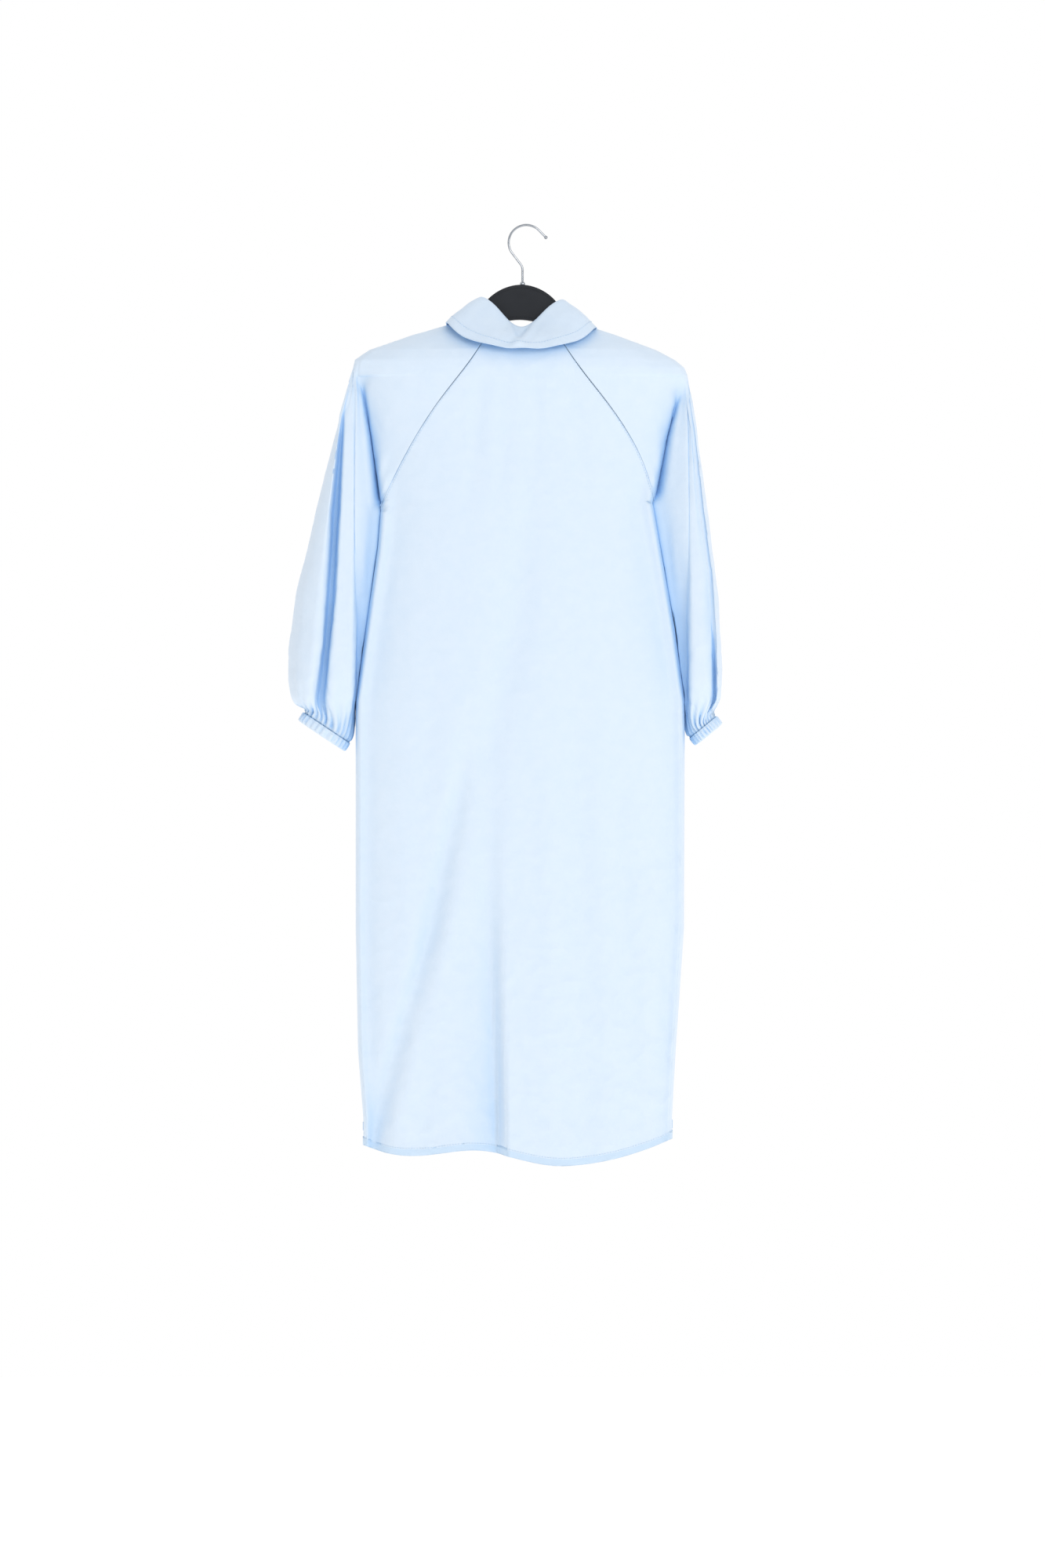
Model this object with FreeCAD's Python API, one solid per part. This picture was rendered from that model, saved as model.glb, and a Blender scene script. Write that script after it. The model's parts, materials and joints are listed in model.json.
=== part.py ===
import FreeCAD, Part
import math
import os
from FreeCAD import Vector as V

# Long-sleeved patient gown hanging on its hanger.
# Millimetres. +Z up, +Y towards the wearer's front, +X towards the wearer's right
# as the gown hangs (its back faces -Y). The origin is the middle of the hook's
# loop on the swivel axis, where the rail goes.

# ---- driving dimensions ------------------------------------------------------

CLOTH = 2.0            # thickness that stands for one sewn layer of cloth
GAP = 0.5              # gap between pieces that move apart
SEAM_GAP = 0.1         # gap at the side seams, on the hanger's plane
CRUMB = 50.0           # cubic millimetres; smaller leavings of a cut are dropped
BEYOND = 300           # a level outside the gown, for cutting
FLOOR = -1300          # a level below the gown, for cutting
FULLNESS = 2.6         # superellipse exponent of the gown's plan section

# Stations down the gown: height, half width on the left and on the right, and how
# far the back and the front stand off the hanger's plane.
STATIONS = [
    (-84, 50, 38, 18, 20),
    (-108, 95, 80, 25, 30),
    (-122, 144, 122, 33, 42),
    (-142, 201, 175, 44, 50),
    (-155, 220, 200, 47, 54),
    (-165, 219, 212, 48, 56),
    (-175, 217, 216, 48, 58),
    (-257, 202, 193, 48, 61),
    (-350, 187, 173, 52, 63),
    (-402, 191, 182, 54, 62),
    (-505, 206, 200, 57, 61),
    (-600, 219, 213, 60, 60),
    (-900, 219, 212, 64, 60),
    (-1061, 216, 201, 66, 60),
    (-1225, 203, 192, 67, 60),
]
ARMPIT_Z = -350        # where the raglan seams meet the side seams
ARMHOLE_TOP = -176     # the sleeve's way in starts here
ARMHOLE_HALF = 18      # and is twice this deep, back to front
RAGLAN = [(36, -96), (60, -144), (109, -209), (155, -283)]
BACK_HEM = [(-240, -1160), (-200, -1187), (-134, -1197), (-60, -1190), (30, -1208), (110, -1203),
            (230, -1156)]
FRONT_HEM = [(-240, -1155), (-150, -1178), (0, -1186), (140, -1176), (230, -1150)]

NECK_HALF = 56         # neck seam half width at the shoulder
NECK_Z = -84           # neck seam height at the shoulder
BACK_NECK_DROP = 54    # how much lower the seam is at the centre back
FRONT_NECK_DROP = 88   # and at the centre front
TILT = 1.9             # degrees that the hanger leans on its hook

# Collar, given at the centre back, the shoulder and the centre front.
FOLD_HALF, FOLD_Z = 50, -79
FOLD_DIP = 4.8         # keeps the fold high beside the hanger and low at the centre back
EDGE_HALF, EDGE_Z = 98, -104
COLLAR_ROUND = 0.45    # how square the collar's rings are where they cross the shoulder
COLLAR_SPREAD = 160    # degrees from centre back to each collar end
COLLAR_STEPS = 16

# Hanger and hook.
APEX_Z = -55.6
HANGER_THICK = 12.0
HANGER_WEB = 4.0       # wall on the hanger's flat back; its front is hollow within a rim
HANGER_RIM = 5.0
HANGER_GROOVE = 3.2    # a fine moulded groove this far in from the edge of the flat back
GROOVE_WIDE = 0.8
GROOVE_DEEP = 0.5
WIRE_R = 1.5
LOOP_R = 23.2          # loop radius at the wire's centre line
LOOP_X = 5.0           # loop centre, beside the swivel axis
LEAN_DEG = 37.3        # how far the wire leans where it leaves the shank
TIP_DEG = 44.0         # where on the loop the straight tip starts
TIP_RUN = 12.0
BEND_R = 12.0
SHANK_BOTTOM = -73.0
RUNNING = 0.05         # radial running clearance of the swivel

# Front opening.
BAND_HALF = 15.0       # half width of the front bands
FLAP_X = 130.0         # the line about which the front edge folds back
FLAP_TOP = -352.0
STUD_TOP, STUD_PITCH, STUD_COUNT = -190.0, 104.0, 10
STUD_R = 5.5
BALL_R = 2.2

# Sleeves: height, inner and outer distance from the swivel axis, back and front.
SLEEVES = {
    "left": (-1, [(-178, 218.8, 226, 9, 9), (-200, 214, 233, 22, 24), (-257, 204, 247, 36, 40),
                  (-350, 191, 270, 48, 54), (-464, 202, 297, 54, 62), (-530, 213, 306, 56, 64),
                  (-574, 220.5, 307, 53, 61), (-596, 223, 304, 47, 54)]),
    "right": (1, [(-190, 214.5, 219, 9, 9), (-212, 208, 223, 22, 24), (-257, 195, 229, 38, 42),
                  (-350, 176, 242, 52, 60), (-464, 197, 256, 60, 66), (-530, 207, 260, 62, 68),
                  (-580, 215, 261, 56, 62), (-602, 217, 259, 47, 53)]),
}
# Cuffs: centre, half length along the cuff, half depth, and the way the cuff faces.
CUFFS = {
    "left": (V(-260, -2, -641), 37.0, 26.0, V(-0.52, -0.34, -0.78)),
    "right": (V(240.5, 4, -640), 22.0, 34.0, V(0.62, -0.12, -0.76)),
}
CUFF_WIDTH = 12.0
ELASTIC_WIDTH = 8.0
ELASTIC_THICK = 1.2

NODES = {}


def interpolate(rows, z, column):
    """Value in a column of rows that are sorted from the top down."""
    for above, below in zip(rows, rows[1:]):
        if below[0] <= z <= above[0]:
            share = (above[0] - z) / (above[0] - below[0])
            return above[column] + share * (below[column] - above[column])
    return rows[0][column] if z > rows[0][0] else rows[-1][column]


def closed_curve(points):
    curve = Part.BSplineCurve()
    curve.interpolate(Points=points, PeriodicFlag=True)
    return Part.Wire([curve.toShape()])


def open_curve(points):
    curve = Part.BSplineCurve()
    curve.interpolate(Points=points)
    return curve.toShape()


def gown_section(row, inset):
    z, left, right, back, front = row
    points = []
    steps = 36
    for i in range(steps):
        a = 2 * math.pi * i / steps
        c, s = math.cos(a), math.sin(a)
        half = (right if c > 0 else left) - 1.6 * inset
        deep = (front if s > 0 else back) - inset
        x = math.copysign(half * abs(c) ** (2 / FULLNESS), c)
        y = math.copysign(deep * abs(s) ** (2 / FULLNESS), s)
        points.append(V(x, y, z))
    return closed_curve(points)


def loft(wires):
    return Part.makeLoft(wires, True, True)


def gown_solid(inset):
    return loft([gown_section(row, inset) for row in STATIONS])


def prism_xz(points, y0, y1):
    """A prism along Y over a polygon given as (x, z)."""
    wire = Part.makePolygon([V(x, y0, z) for x, z in points] + [V(points[0][0], y0, points[0][1])])
    return Part.Face(wire).extrude(V(0, y1 - y0, 0))


def prism_under_curve(points, bottom, y0, y1):
    """A prism along Y between a smooth curve given as (x, z) and a level below it."""
    top = open_curve([V(x, y0, z) for x, z in points])
    first, last = V(points[0][0], y0, bottom), V(points[-1][0], y0, bottom)
    lines = Part.makePolygon([V(points[-1][0], y0, points[-1][1]), last, first,
                              V(points[0][0], y0, points[0][1])])
    return Part.Face(Part.Wire([top] + lines.Edges)).extrude(V(0, y1 - y0, 0))


def raglan_prism(side):
    """Everything outboard of one raglan seam and above the armpit."""
    armpit = interpolate(STATIONS, ARMPIT_Z, 1 if side < 0 else 2)
    behind, above = -BEYOND, NECK_Z + 24
    seam = [V(side * x, behind, z) for x, z in RAGLAN + [(armpit, ARMPIT_Z)]]
    top = V(side * 24, behind, above)
    outer = [seam[-1], V(side * BEYOND, behind, ARMPIT_Z), V(side * BEYOND, behind, above), top, seam[0]]
    wire = Part.Wire([open_curve(seam)] + Part.makePolygon(outer).Edges)
    return Part.Face(wire).extrude(V(0, 2 * BEYOND, 0))


def neck_cut(drop, y0, y1):
    """The hole for the neck, a half ellipse that hangs from the shoulder points."""
    steps = 16
    arc = []
    for i in range(steps + 1):
        a = math.pi * i / steps
        arc.append(V(-NECK_HALF * math.cos(a), y0, NECK_Z - drop * math.sin(a)))
    above = NECK_Z + 44
    lid = Part.makePolygon([arc[-1], V(NECK_HALF, y0, above), V(-NECK_HALF, y0, above), arc[0]])
    solid = Part.Face(Part.Wire([open_curve(arc)] + lid.Edges)).extrude(V(0, y1 - y0, 0))
    return lean(solid)


def lean(shape):
    """Turn a shape by the hanger's lean, about the hanger's apex."""
    turned = shape.copy()
    turned.rotate(V(0, 0, APEX_Z), V(0, 1, 0), TILT)
    return turned


def box(x0, x1, y0, y1, z0, z1):
    return Part.makeBox(x1 - x0, y1 - y0, z1 - z0, V(x0, y0, z0))


def biggest(shape):
    """The largest solid of a cut, without the crumbs."""
    return max(shape.Solids, key=lambda solid: solid.Volume)


# ---- the gown's body ---------------------------------------------------------

def make_body_cloth():
    outer, inner = gown_solid(0.0), gown_solid(CLOTH)
    shell = outer.cut(inner)
    shell = shell.cut(neck_cut(BACK_NECK_DROP, -BEYOND, 0))
    shell = shell.cut(neck_cut(FRONT_NECK_DROP, 0, BEYOND))
    shell = shell.cut(box(-100, 100, -BEYOND, BEYOND, NECK_Z, 0))
    shell = shell.cut(prism_under_curve(BACK_HEM, FLOOR, -BEYOND, 0))
    shell = shell.cut(prism_under_curve(FRONT_HEM, FLOOR, 0, BEYOND))
    for low_x, high_x in ((-240, -150), (150, 240)):
        shell = shell.cut(box(low_x, high_x, -ARMHOLE_HALF, ARMHOLE_HALF, ARMPIT_Z + 6, ARMHOLE_TOP))
    rest = shell
    for name, side in (("left", -1), ("right", 1)):
        prism = raglan_prism(side)
        head = shell.common(prism)
        NODES[name + "_sleeve_head"] = biggest(head.cut(NODES["hanger"]))
        rest = rest.cut(prism)
    NODES["back_panel"] = biggest(rest.common(box(-BEYOND, BEYOND, -BEYOND, -SEAM_GAP, FLOOR, 0)))
    front = rest.common(box(-BEYOND, BEYOND, SEAM_GAP, BEYOND, FLOOR, 0))
    NODES["left_front_panel"] = biggest(front.common(box(-BEYOND, -BAND_HALF - 1, 0, BEYOND, FLOOR, 0)))
    right = front.common(box(BAND_HALF, BEYOND, 0, BEYOND, FLOOR, 0))
    NODES["right_front_yoke"] = biggest(right.common(box(0, BEYOND, 0, BEYOND, FLAP_TOP, 0)))
    skirt = right.common(box(0, BEYOND, 0, BEYOND, FLOOR, FLAP_TOP - 1))
    NODES["right_front_side"] = biggest(skirt.common(box(FLAP_X, BEYOND, 0, BEYOND, FLOOR, 0)))
    NODES["right_front_flap"] = biggest(skirt.common(box(0, FLAP_X - GAP, 0, BEYOND, FLOOR, 0)))


# ---- front bands and press studs --------------------------------------------------

def front_y(z):
    return interpolate(STATIONS, z, 4)


def band(profile, top, bottom):
    """A strip that follows the centre front; the profile is (x, y behind the front)."""
    levels = [top] + [row[0] for row in STATIONS if bottom < row[0] < top] + [bottom]
    wires = []
    for z in levels:
        points = [V(x, front_y(z) - y, z) for x, y in profile]
        wires.append(Part.makePolygon(points + [points[0]]))
    return loft(wires)


OUTER_BAND = [(-BAND_HALF, -0.6), (BAND_HALF, -0.6), (BAND_HALF, CLOTH), (-BAND_HALF, CLOTH)]
INNER_BAND = [(BAND_HALF, 5.0), (BAND_HALF, 7.0), (-19, 7.0), (-26, 4.4), (-32, 4.4), (-32, 2.4),
              (-25, 2.4), (-18, 5.0)]
BAND_TOP = -174.0
BAND_BOTTOM = -1186.0


def make_bands():
    NODES["right_front_band_top"] = band(OUTER_BAND, BAND_TOP, FLAP_TOP)
    NODES["right_front_band_low"] = band(OUTER_BAND, FLAP_TOP - 1, BAND_BOTTOM)
    NODES["left_front_band"] = band(INNER_BAND, BAND_TOP, BAND_BOTTOM)


def disc(radius, z, y0, y1):
    return Part.makeCylinder(radius, y1 - y0, V(0, y0, z), V(0, 1, 0))


def stud_cap(z):
    """A domed cap on the outer band."""
    y = front_y(z) + 0.8
    cap = disc(STUD_R, z, y, y + 1.6)
    return cap.makeFillet(0.7, [cap.Edges[0]])


def stud_socket(z):
    """The ring behind the outer band that snaps over the ball."""
    y = front_y(z)
    return disc(STUD_R, z, y - 4.4, y - 2.2).cut(disc(BALL_R + 0.5, z, y - 5, y - 2.6))


def stud_ball(z):
    """The flange and ball on the inner band."""
    y = front_y(z) - 4.8
    return disc(STUD_R - 0.5, z, y, y + 0.4).fuse(disc(BALL_R, z, y + 0.4, y + 2.0)).removeSplitter()


def stud_back(z):
    """The ring behind the inner band that holds the ball's posts."""
    y = front_y(z) - 7.2
    return disc(STUD_R, z, y - 1.2, y).cut(disc(1.6, z, y - 2, y + 1))


def make_studs():
    heights = [STUD_TOP - STUD_PITCH * i for i in range(STUD_COUNT)]
    top = [z for z in heights if z > FLAP_TOP]
    low = [z for z in heights if z < FLAP_TOP]
    NODES["stud_caps_top"] = Part.makeCompound([stud_cap(z) for z in top])
    NODES["stud_caps_low"] = Part.makeCompound([stud_cap(z) for z in low])
    NODES["stud_sockets_top"] = Part.makeCompound([stud_socket(z) for z in top])
    NODES["stud_sockets_low"] = Part.makeCompound([stud_socket(z) for z in low])
    NODES["stud_balls"] = Part.makeCompound([stud_ball(z) for z in heights])
    NODES["stud_backs"] = Part.makeCompound([stud_back(z) for z in heights])


# ---- collar -------------------------------------------------------------------------

def collar_point(a, half, z, back_drop, front_drop, back_y, front_y_, dip=1):
    """A point on a ring round the neck; the angle is 0 at the centre back."""
    c, s = math.cos(a), math.sin(a)
    drop, y = (back_drop * abs(c) ** dip, back_y) if c > 0 else (front_drop * abs(c), front_y_)
    return V(half * s, -y * math.copysign(abs(c) ** COLLAR_ROUND, c), z - drop)


def seam_point(a):
    return collar_point(a, NECK_HALF - 1.5, NECK_Z + 1, BACK_NECK_DROP, FRONT_NECK_DROP, 38, 53)


def fold_point(a):
    return collar_point(a, FOLD_HALF, FOLD_Z, 38, 70, 22, 48, FOLD_DIP)


def crease_point(a):
    """The fall starts just above and outside the top of the stand."""
    return collar_point(a, FOLD_HALF + 4, FOLD_Z + 2.6, 38, 70, 27.5, 53.5, FOLD_DIP)


def edge_point(a):
    return collar_point(a, EDGE_HALF, EDGE_Z, 38, 93, 60, 80)


def strip(lower, upper, thick):
    """A band of cloth between two rings of points round the neck."""
    corners = []
    for i in range(COLLAR_STEPS + 1):
        a = math.radians(COLLAR_SPREAD) * (2 * i / COLLAR_STEPS - 1)
        p, q = lower(a), upper(a)
        along = lower(a + 0.05) + upper(a + 0.05) - lower(a - 0.05) - upper(a - 0.05)
        out = (q - p).cross(along).normalize() * thick
        corners.append((p, q, q + out, p + out))
    steps = list(range(COLLAR_STEPS + 1))
    edges = []
    for column in zip(*corners):
        curve = Part.BSplineCurve()
        curve.interpolate(Points=list(column), Parameters=steps)
        edges.append(curve.toShape())
    faces = [Part.makeRuledSurface(edges[i], edges[(i + 1) % 4]) for i in range(4)]
    for end in (corners[0], corners[-1]):
        faces.append(Part.Face(Part.makePolygon(list(end) + [end[0]])))
    shell = Part.makeShell(faces)
    shell.sewShape()
    return lean(Part.makeSolid(shell))


def make_collar():
    panels = [NODES[name] for name in ("back_panel", "left_sleeve_head", "right_sleeve_head",
                                       "left_front_panel", "right_front_yoke", "hanger")]
    NODES["collar_fall"] = biggest(strip(edge_point, crease_point, -CLOTH).cut(panels))
    room = HANGER_THICK / 2 + 0.3
    passage = box(-80, 80, -room, room, -130, -60)
    stand = strip(seam_point, fold_point, 1.5).cut([passage, NODES["collar_fall"]])
    NODES["collar_stand"] = Part.makeCompound([solid for solid in stand.Solids if solid.Volume > CRUMB])
    NODES["neck_label"] = box(-20, 20, -45.9, -45.3, -215, -175)


# ---- sleeves --------------------------------------------------------------------------

def oval(centre, u, v):
    points = []
    steps = 24
    for i in range(steps):
        a = 2 * math.pi * i / steps
        points.append(centre + u * math.cos(a) + v * math.sin(a))
    return closed_curve(points)


def sleeve_section(side, row, inset):
    z, near, far, back, front = row
    centre = V(side * (near + far) / 2, (front - back) / 2, z)
    half, deep = (far - near) / 2 - inset, (front + back) / 2 - inset
    return oval(centre, V(side * half, 0, 0), V(0, deep, 0))


def cuff_axes(name):
    """Unit vectors along the cuff's length, across it and out of its mouth."""
    facing = V(CUFFS[name][3]).normalize()
    side = SLEEVES[name][0]
    across = facing.cross(V(0, 1, 0)).normalize()
    if across.x * side < 0:
        across = across * -1
    deep = facing.cross(across).normalize()
    if deep.y < 0:
        deep = deep * -1
    return across, deep, facing


def cuff_section(name, distance, inset):
    """The cuff's oval at a distance along its axis, 0 at its open edge."""
    centre, half, deep_half, _ = CUFFS[name]
    across, deep, facing = cuff_axes(name)
    return oval(centre - facing * distance, across * (half - inset), deep * (deep_half - inset))


def make_sleeve(name):
    side, rows = SLEEVES[name]

    def tube(inset):
        wires = [sleeve_section(side, row, inset) for row in rows]
        return loft(wires + [cuff_section(name, CUFF_WIDTH + 0.1, inset)])

    narrow = 3.2
    sleeve = tube(0.0).cut(tube(CLOTH))
    top, armpit = rows[0][1], interpolate(rows, ARMPIT_Z, 1)
    window = [(side * (top - 20), -150), (side * (top + 4.5), -150),
              (side * (armpit + 4.5), ARMPIT_Z + 3.7), (side * (armpit - 20), ARMPIT_Z + 3.7)]
    sleeve = sleeve.cut(prism_xz(window, -200, 200))
    NODES[name + "_sleeve"] = biggest(sleeve)
    casing = loft([cuff_section(name, CUFF_WIDTH, 0), cuff_section(name, 0, 0)])
    casing = casing.cut(loft([cuff_section(name, CUFF_WIDTH + 1, narrow), cuff_section(name, -1, narrow)]))
    edge = (CUFF_WIDTH - ELASTIC_WIDTH) / 2
    skin = (narrow - ELASTIC_THICK) / 2
    outer = loft([cuff_section(name, CUFF_WIDTH - edge, skin), cuff_section(name, edge, skin)])
    inner = loft([cuff_section(name, CUFF_WIDTH, narrow - skin), cuff_section(name, 0, narrow - skin)])
    elastic = outer.cut(inner)
    NODES[name + "_cuff_elastic"] = elastic
    NODES[name + "_cuff_casing"] = casing.cut(elastic)


# ---- hanger and hook --------------------------------------------------------------------

def hanger_outline(inset):
    """Outline of the hanger in its own upright pose, or of its pocket when inset."""
    tip_x, tip_top, tip_bottom = 198 - 1.4 * inset, -150 - 0.9 * inset, -165 + inset
    top = [(-150, -132.5), (-97, -115), (-74, -105), (-57, -92), (-46, -77.5), (-24, -61)]
    top = top + [(0, APEX_Z)] + [(-x, z) for x, z in top[::-1]]
    top = [(-tip_x, tip_top)] + [(x, z - 1.2 * inset) for x, z in top] + [(tip_x, tip_top)]
    half = [(97, -136 + inset), (30, -106.5 + inset)]
    bottom = half + [(0, -101.5 + inset)] + [(-x, z) for x, z in half[::-1]]
    bottom = [(tip_x, tip_bottom)] + bottom + [(-tip_x, tip_bottom)]
    over = open_curve([V(x, 0, z) for x, z in top])
    under = open_curve([V(x, 0, z) for x, z in bottom])
    ends = []
    for side in (1, -1):
        high, low = V(side * tip_x, 0, tip_top), V(side * tip_x, 0, tip_bottom)
        nose = (high + low) / 2 + V(side * (tip_top - tip_bottom) / 2, 0, 0)
        ends.append(Part.Arc(high, nose, low).toShape())
    return Part.Wire([over, ends[0], under, ends[1]])


def slab(wire, y0, y1):
    face = Part.Face(wire)
    face.translate(V(0, y0, 0))
    return face.extrude(V(0, y1 - y0, 0))


def make_hanger():
    half = HANGER_THICK / 2
    body = slab(hanger_outline(0), -half, half)
    body = body.cut(slab(hanger_outline(HANGER_RIM), HANGER_WEB - half, half + 1))
    groove = slab(hanger_outline(HANGER_GROOVE), -half - 1, GROOVE_DEEP - half)
    groove = groove.cut(slab(hanger_outline(HANGER_GROOVE + GROOVE_WIDE), -half - 1, half))
    body = body.cut(groove)
    body = body.fuse(Part.makeCylinder(5.6, 24, V(0, 0, APEX_Z - 26)))
    body = lean(body)
    body = body.cut(Part.makeCylinder(WIRE_R + RUNNING, 60, V(0, 0, SHANK_BOTTOM)))
    body = body.cut(Part.makeCylinder(3.4, 4.6, V(0, 0, SHANK_BOTTOM - 1.1)))
    NODES["hanger"] = biggest(body)


def make_hook():
    lean_a = math.radians(LEAN_DEG)
    centre = V(LOOP_X, 0, 0)
    first = math.pi + lean_a
    last = math.radians(TIP_DEG)

    def on_loop(a):
        return centre + V(math.cos(a), 0, math.sin(a)) * LOOP_R

    start = on_loop(first)
    corner = V(0, 0, start.z + start.x / math.tan(lean_a))
    cut = BEND_R * math.tan(lean_a / 2)
    before = corner - V(0, 0, cut)
    up = V(-math.sin(lean_a), 0, math.cos(lean_a))
    after = corner + up * cut
    middle = V(-BEND_R + BEND_R * math.cos(lean_a / 2), 0, before.z + BEND_R * math.sin(lean_a / 2))
    end = on_loop(last)
    tip = end + V(math.sin(last), 0, -math.cos(last)) * TIP_RUN
    edges = [Part.LineSegment(V(0, 0, SHANK_BOTTOM), before).toShape(),
             Part.Arc(before, middle, after).toShape(),
             Part.LineSegment(after, start).toShape(),
             Part.Arc(start, on_loop((first + last) / 2), end).toShape(),
             Part.LineSegment(end, tip).toShape()]
    profile = Part.Wire([Part.makeCircle(WIRE_R, V(0, 0, SHANK_BOTTOM), V(0, 0, 1))])
    NODES["hook_wire"] = Part.Wire(edges).makePipeShell([profile], True, False)
    ball = Part.makeSphere(2.4, tip + V(0.6, 0, -0.6))
    NODES["hook_tip"] = ball.cut(NODES["hook_wire"])
    NODES["hook_retainer"] = Part.makeCylinder(3.0, 2.4, V(0, 0, SHANK_BOTTOM)).cut(NODES["hook_wire"])
    ferrule = Part.makeSphere(3.6, V(0, 0, APEX_Z + 1.2))
    ferrule = ferrule.cut(Part.makeCylinder(WIRE_R + RUNNING, 20, V(0, 0, APEX_Z - 10)))
    NODES["hook_ferrule"] = ferrule.cut(NODES["hanger"])


def main():
    make_hanger()
    make_hook()
    make_body_cloth()
    make_collar()
    make_bands()
    make_studs()
    for name in SLEEVES:
        make_sleeve(name)
    os.makedirs("parts", exist_ok=True)
    for name, shape in NODES.items():
        shape.exportStep("parts/" + name + ".step")
        print(name, len(shape.Solids), shape.isValid(), round(shape.Volume / 1000, 2))


main()
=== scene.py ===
import json
import math

import bpy
import numpy as np
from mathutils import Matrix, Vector, noise


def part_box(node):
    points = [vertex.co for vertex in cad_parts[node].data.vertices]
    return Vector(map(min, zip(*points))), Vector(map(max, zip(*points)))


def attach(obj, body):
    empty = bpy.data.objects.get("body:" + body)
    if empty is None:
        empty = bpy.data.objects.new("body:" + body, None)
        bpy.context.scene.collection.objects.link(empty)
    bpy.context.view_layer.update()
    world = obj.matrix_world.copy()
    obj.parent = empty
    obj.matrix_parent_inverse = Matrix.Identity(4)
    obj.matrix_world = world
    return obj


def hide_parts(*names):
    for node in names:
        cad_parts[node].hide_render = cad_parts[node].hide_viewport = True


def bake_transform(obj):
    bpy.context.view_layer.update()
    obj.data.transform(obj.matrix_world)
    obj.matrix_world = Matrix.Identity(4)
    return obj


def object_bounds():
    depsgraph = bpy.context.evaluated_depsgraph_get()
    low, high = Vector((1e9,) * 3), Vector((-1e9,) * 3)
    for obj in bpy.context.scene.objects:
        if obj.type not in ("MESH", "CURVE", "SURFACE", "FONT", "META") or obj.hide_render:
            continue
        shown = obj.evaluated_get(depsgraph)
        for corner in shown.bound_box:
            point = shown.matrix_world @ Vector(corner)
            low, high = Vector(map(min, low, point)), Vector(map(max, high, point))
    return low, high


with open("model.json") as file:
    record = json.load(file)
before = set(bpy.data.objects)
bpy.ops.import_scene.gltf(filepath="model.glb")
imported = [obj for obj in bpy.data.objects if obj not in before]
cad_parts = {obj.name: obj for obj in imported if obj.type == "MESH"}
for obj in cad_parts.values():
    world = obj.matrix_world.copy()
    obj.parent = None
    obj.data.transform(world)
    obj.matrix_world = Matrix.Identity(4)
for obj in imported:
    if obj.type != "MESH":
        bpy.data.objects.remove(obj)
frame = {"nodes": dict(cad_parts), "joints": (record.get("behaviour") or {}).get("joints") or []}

# Looks of a patient gown that hangs on its hanger. Metres, in the frame of the CAD:
# +Z up, the gown's back faces -Y, the wearer's left sleeve is at -X. Every cloth panel
# is a grid that follows outlines measured on the CAD nodes, with folds, turned hems and
# sewn stitches added.

CAD_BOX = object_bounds()

FULLNESS = 2.6          # superellipse exponent of the gown's plan section
CLOTH = 0.0008          # thickness of one layer of cotton
GRID = 0.0042           # usual size of a cloth face
HEM = 0.011             # width of the turned hems
HEM_STITCH = 0.0015     # the hem's stitches run this far inside its upper edge
STITCH = 0.0027         # length of one stitch
SEAM_LAP = 0.0006       # the panels lap under the sleeves at the raglan seams
SEAM_SINK = 0.0001      # both sides of a seam sink in by this much
WEAVE_PITCH = 0.0011    # from one thread of the weave to the next
HEIGHTS = np.linspace(-0.09, -1.25, 400)    # levels at which the panels' edges are measured

BODY_NODES = ["back_panel", "left_sleeve_head", "right_sleeve_head", "left_front_panel",
              "right_front_yoke", "right_front_side", "right_front_flap"]
SIDES = {"left": -1, "right": 1}


# ---- measuring the frame ----

def edges_of(names):
    """End points of every mesh edge of these CAD nodes."""
    starts, ends = [], []
    for name in names:
        mesh = frame["nodes"][name].data
        points = np.array([v.co for v in mesh.vertices])
        pairs = np.array([e.vertices[:] for e in mesh.edges])
        starts.append(points[pairs[:, 0]])
        ends.append(points[pairs[:, 1]])
    return np.concatenate(starts), np.concatenate(ends)


def slice_edges(edges, axis, level):
    """Points where the edges cross a plane at that level of the axis."""
    start, end = edges
    low, high = start[:, axis] - level, end[:, axis] - level
    hit = low * high < 0
    share = low[hit] / (low[hit] - high[hit])
    return start[hit] + share[:, None] * (end[hit] - start[hit])


def smooth(x):
    """0 below 0, 1 above 1 and a smooth step between."""
    x = np.clip(x, 0, 1)
    return x * x * (3 - 2 * x)


def ramp(x, low, high):
    """A smooth step from 0 at low to 1 at high."""
    return smooth((x - low) / (high - low))


def bell(x, width):
    """1 at 0, and falling off smoothly on both sides."""
    return np.exp(-(x / width) ** 2)


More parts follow.
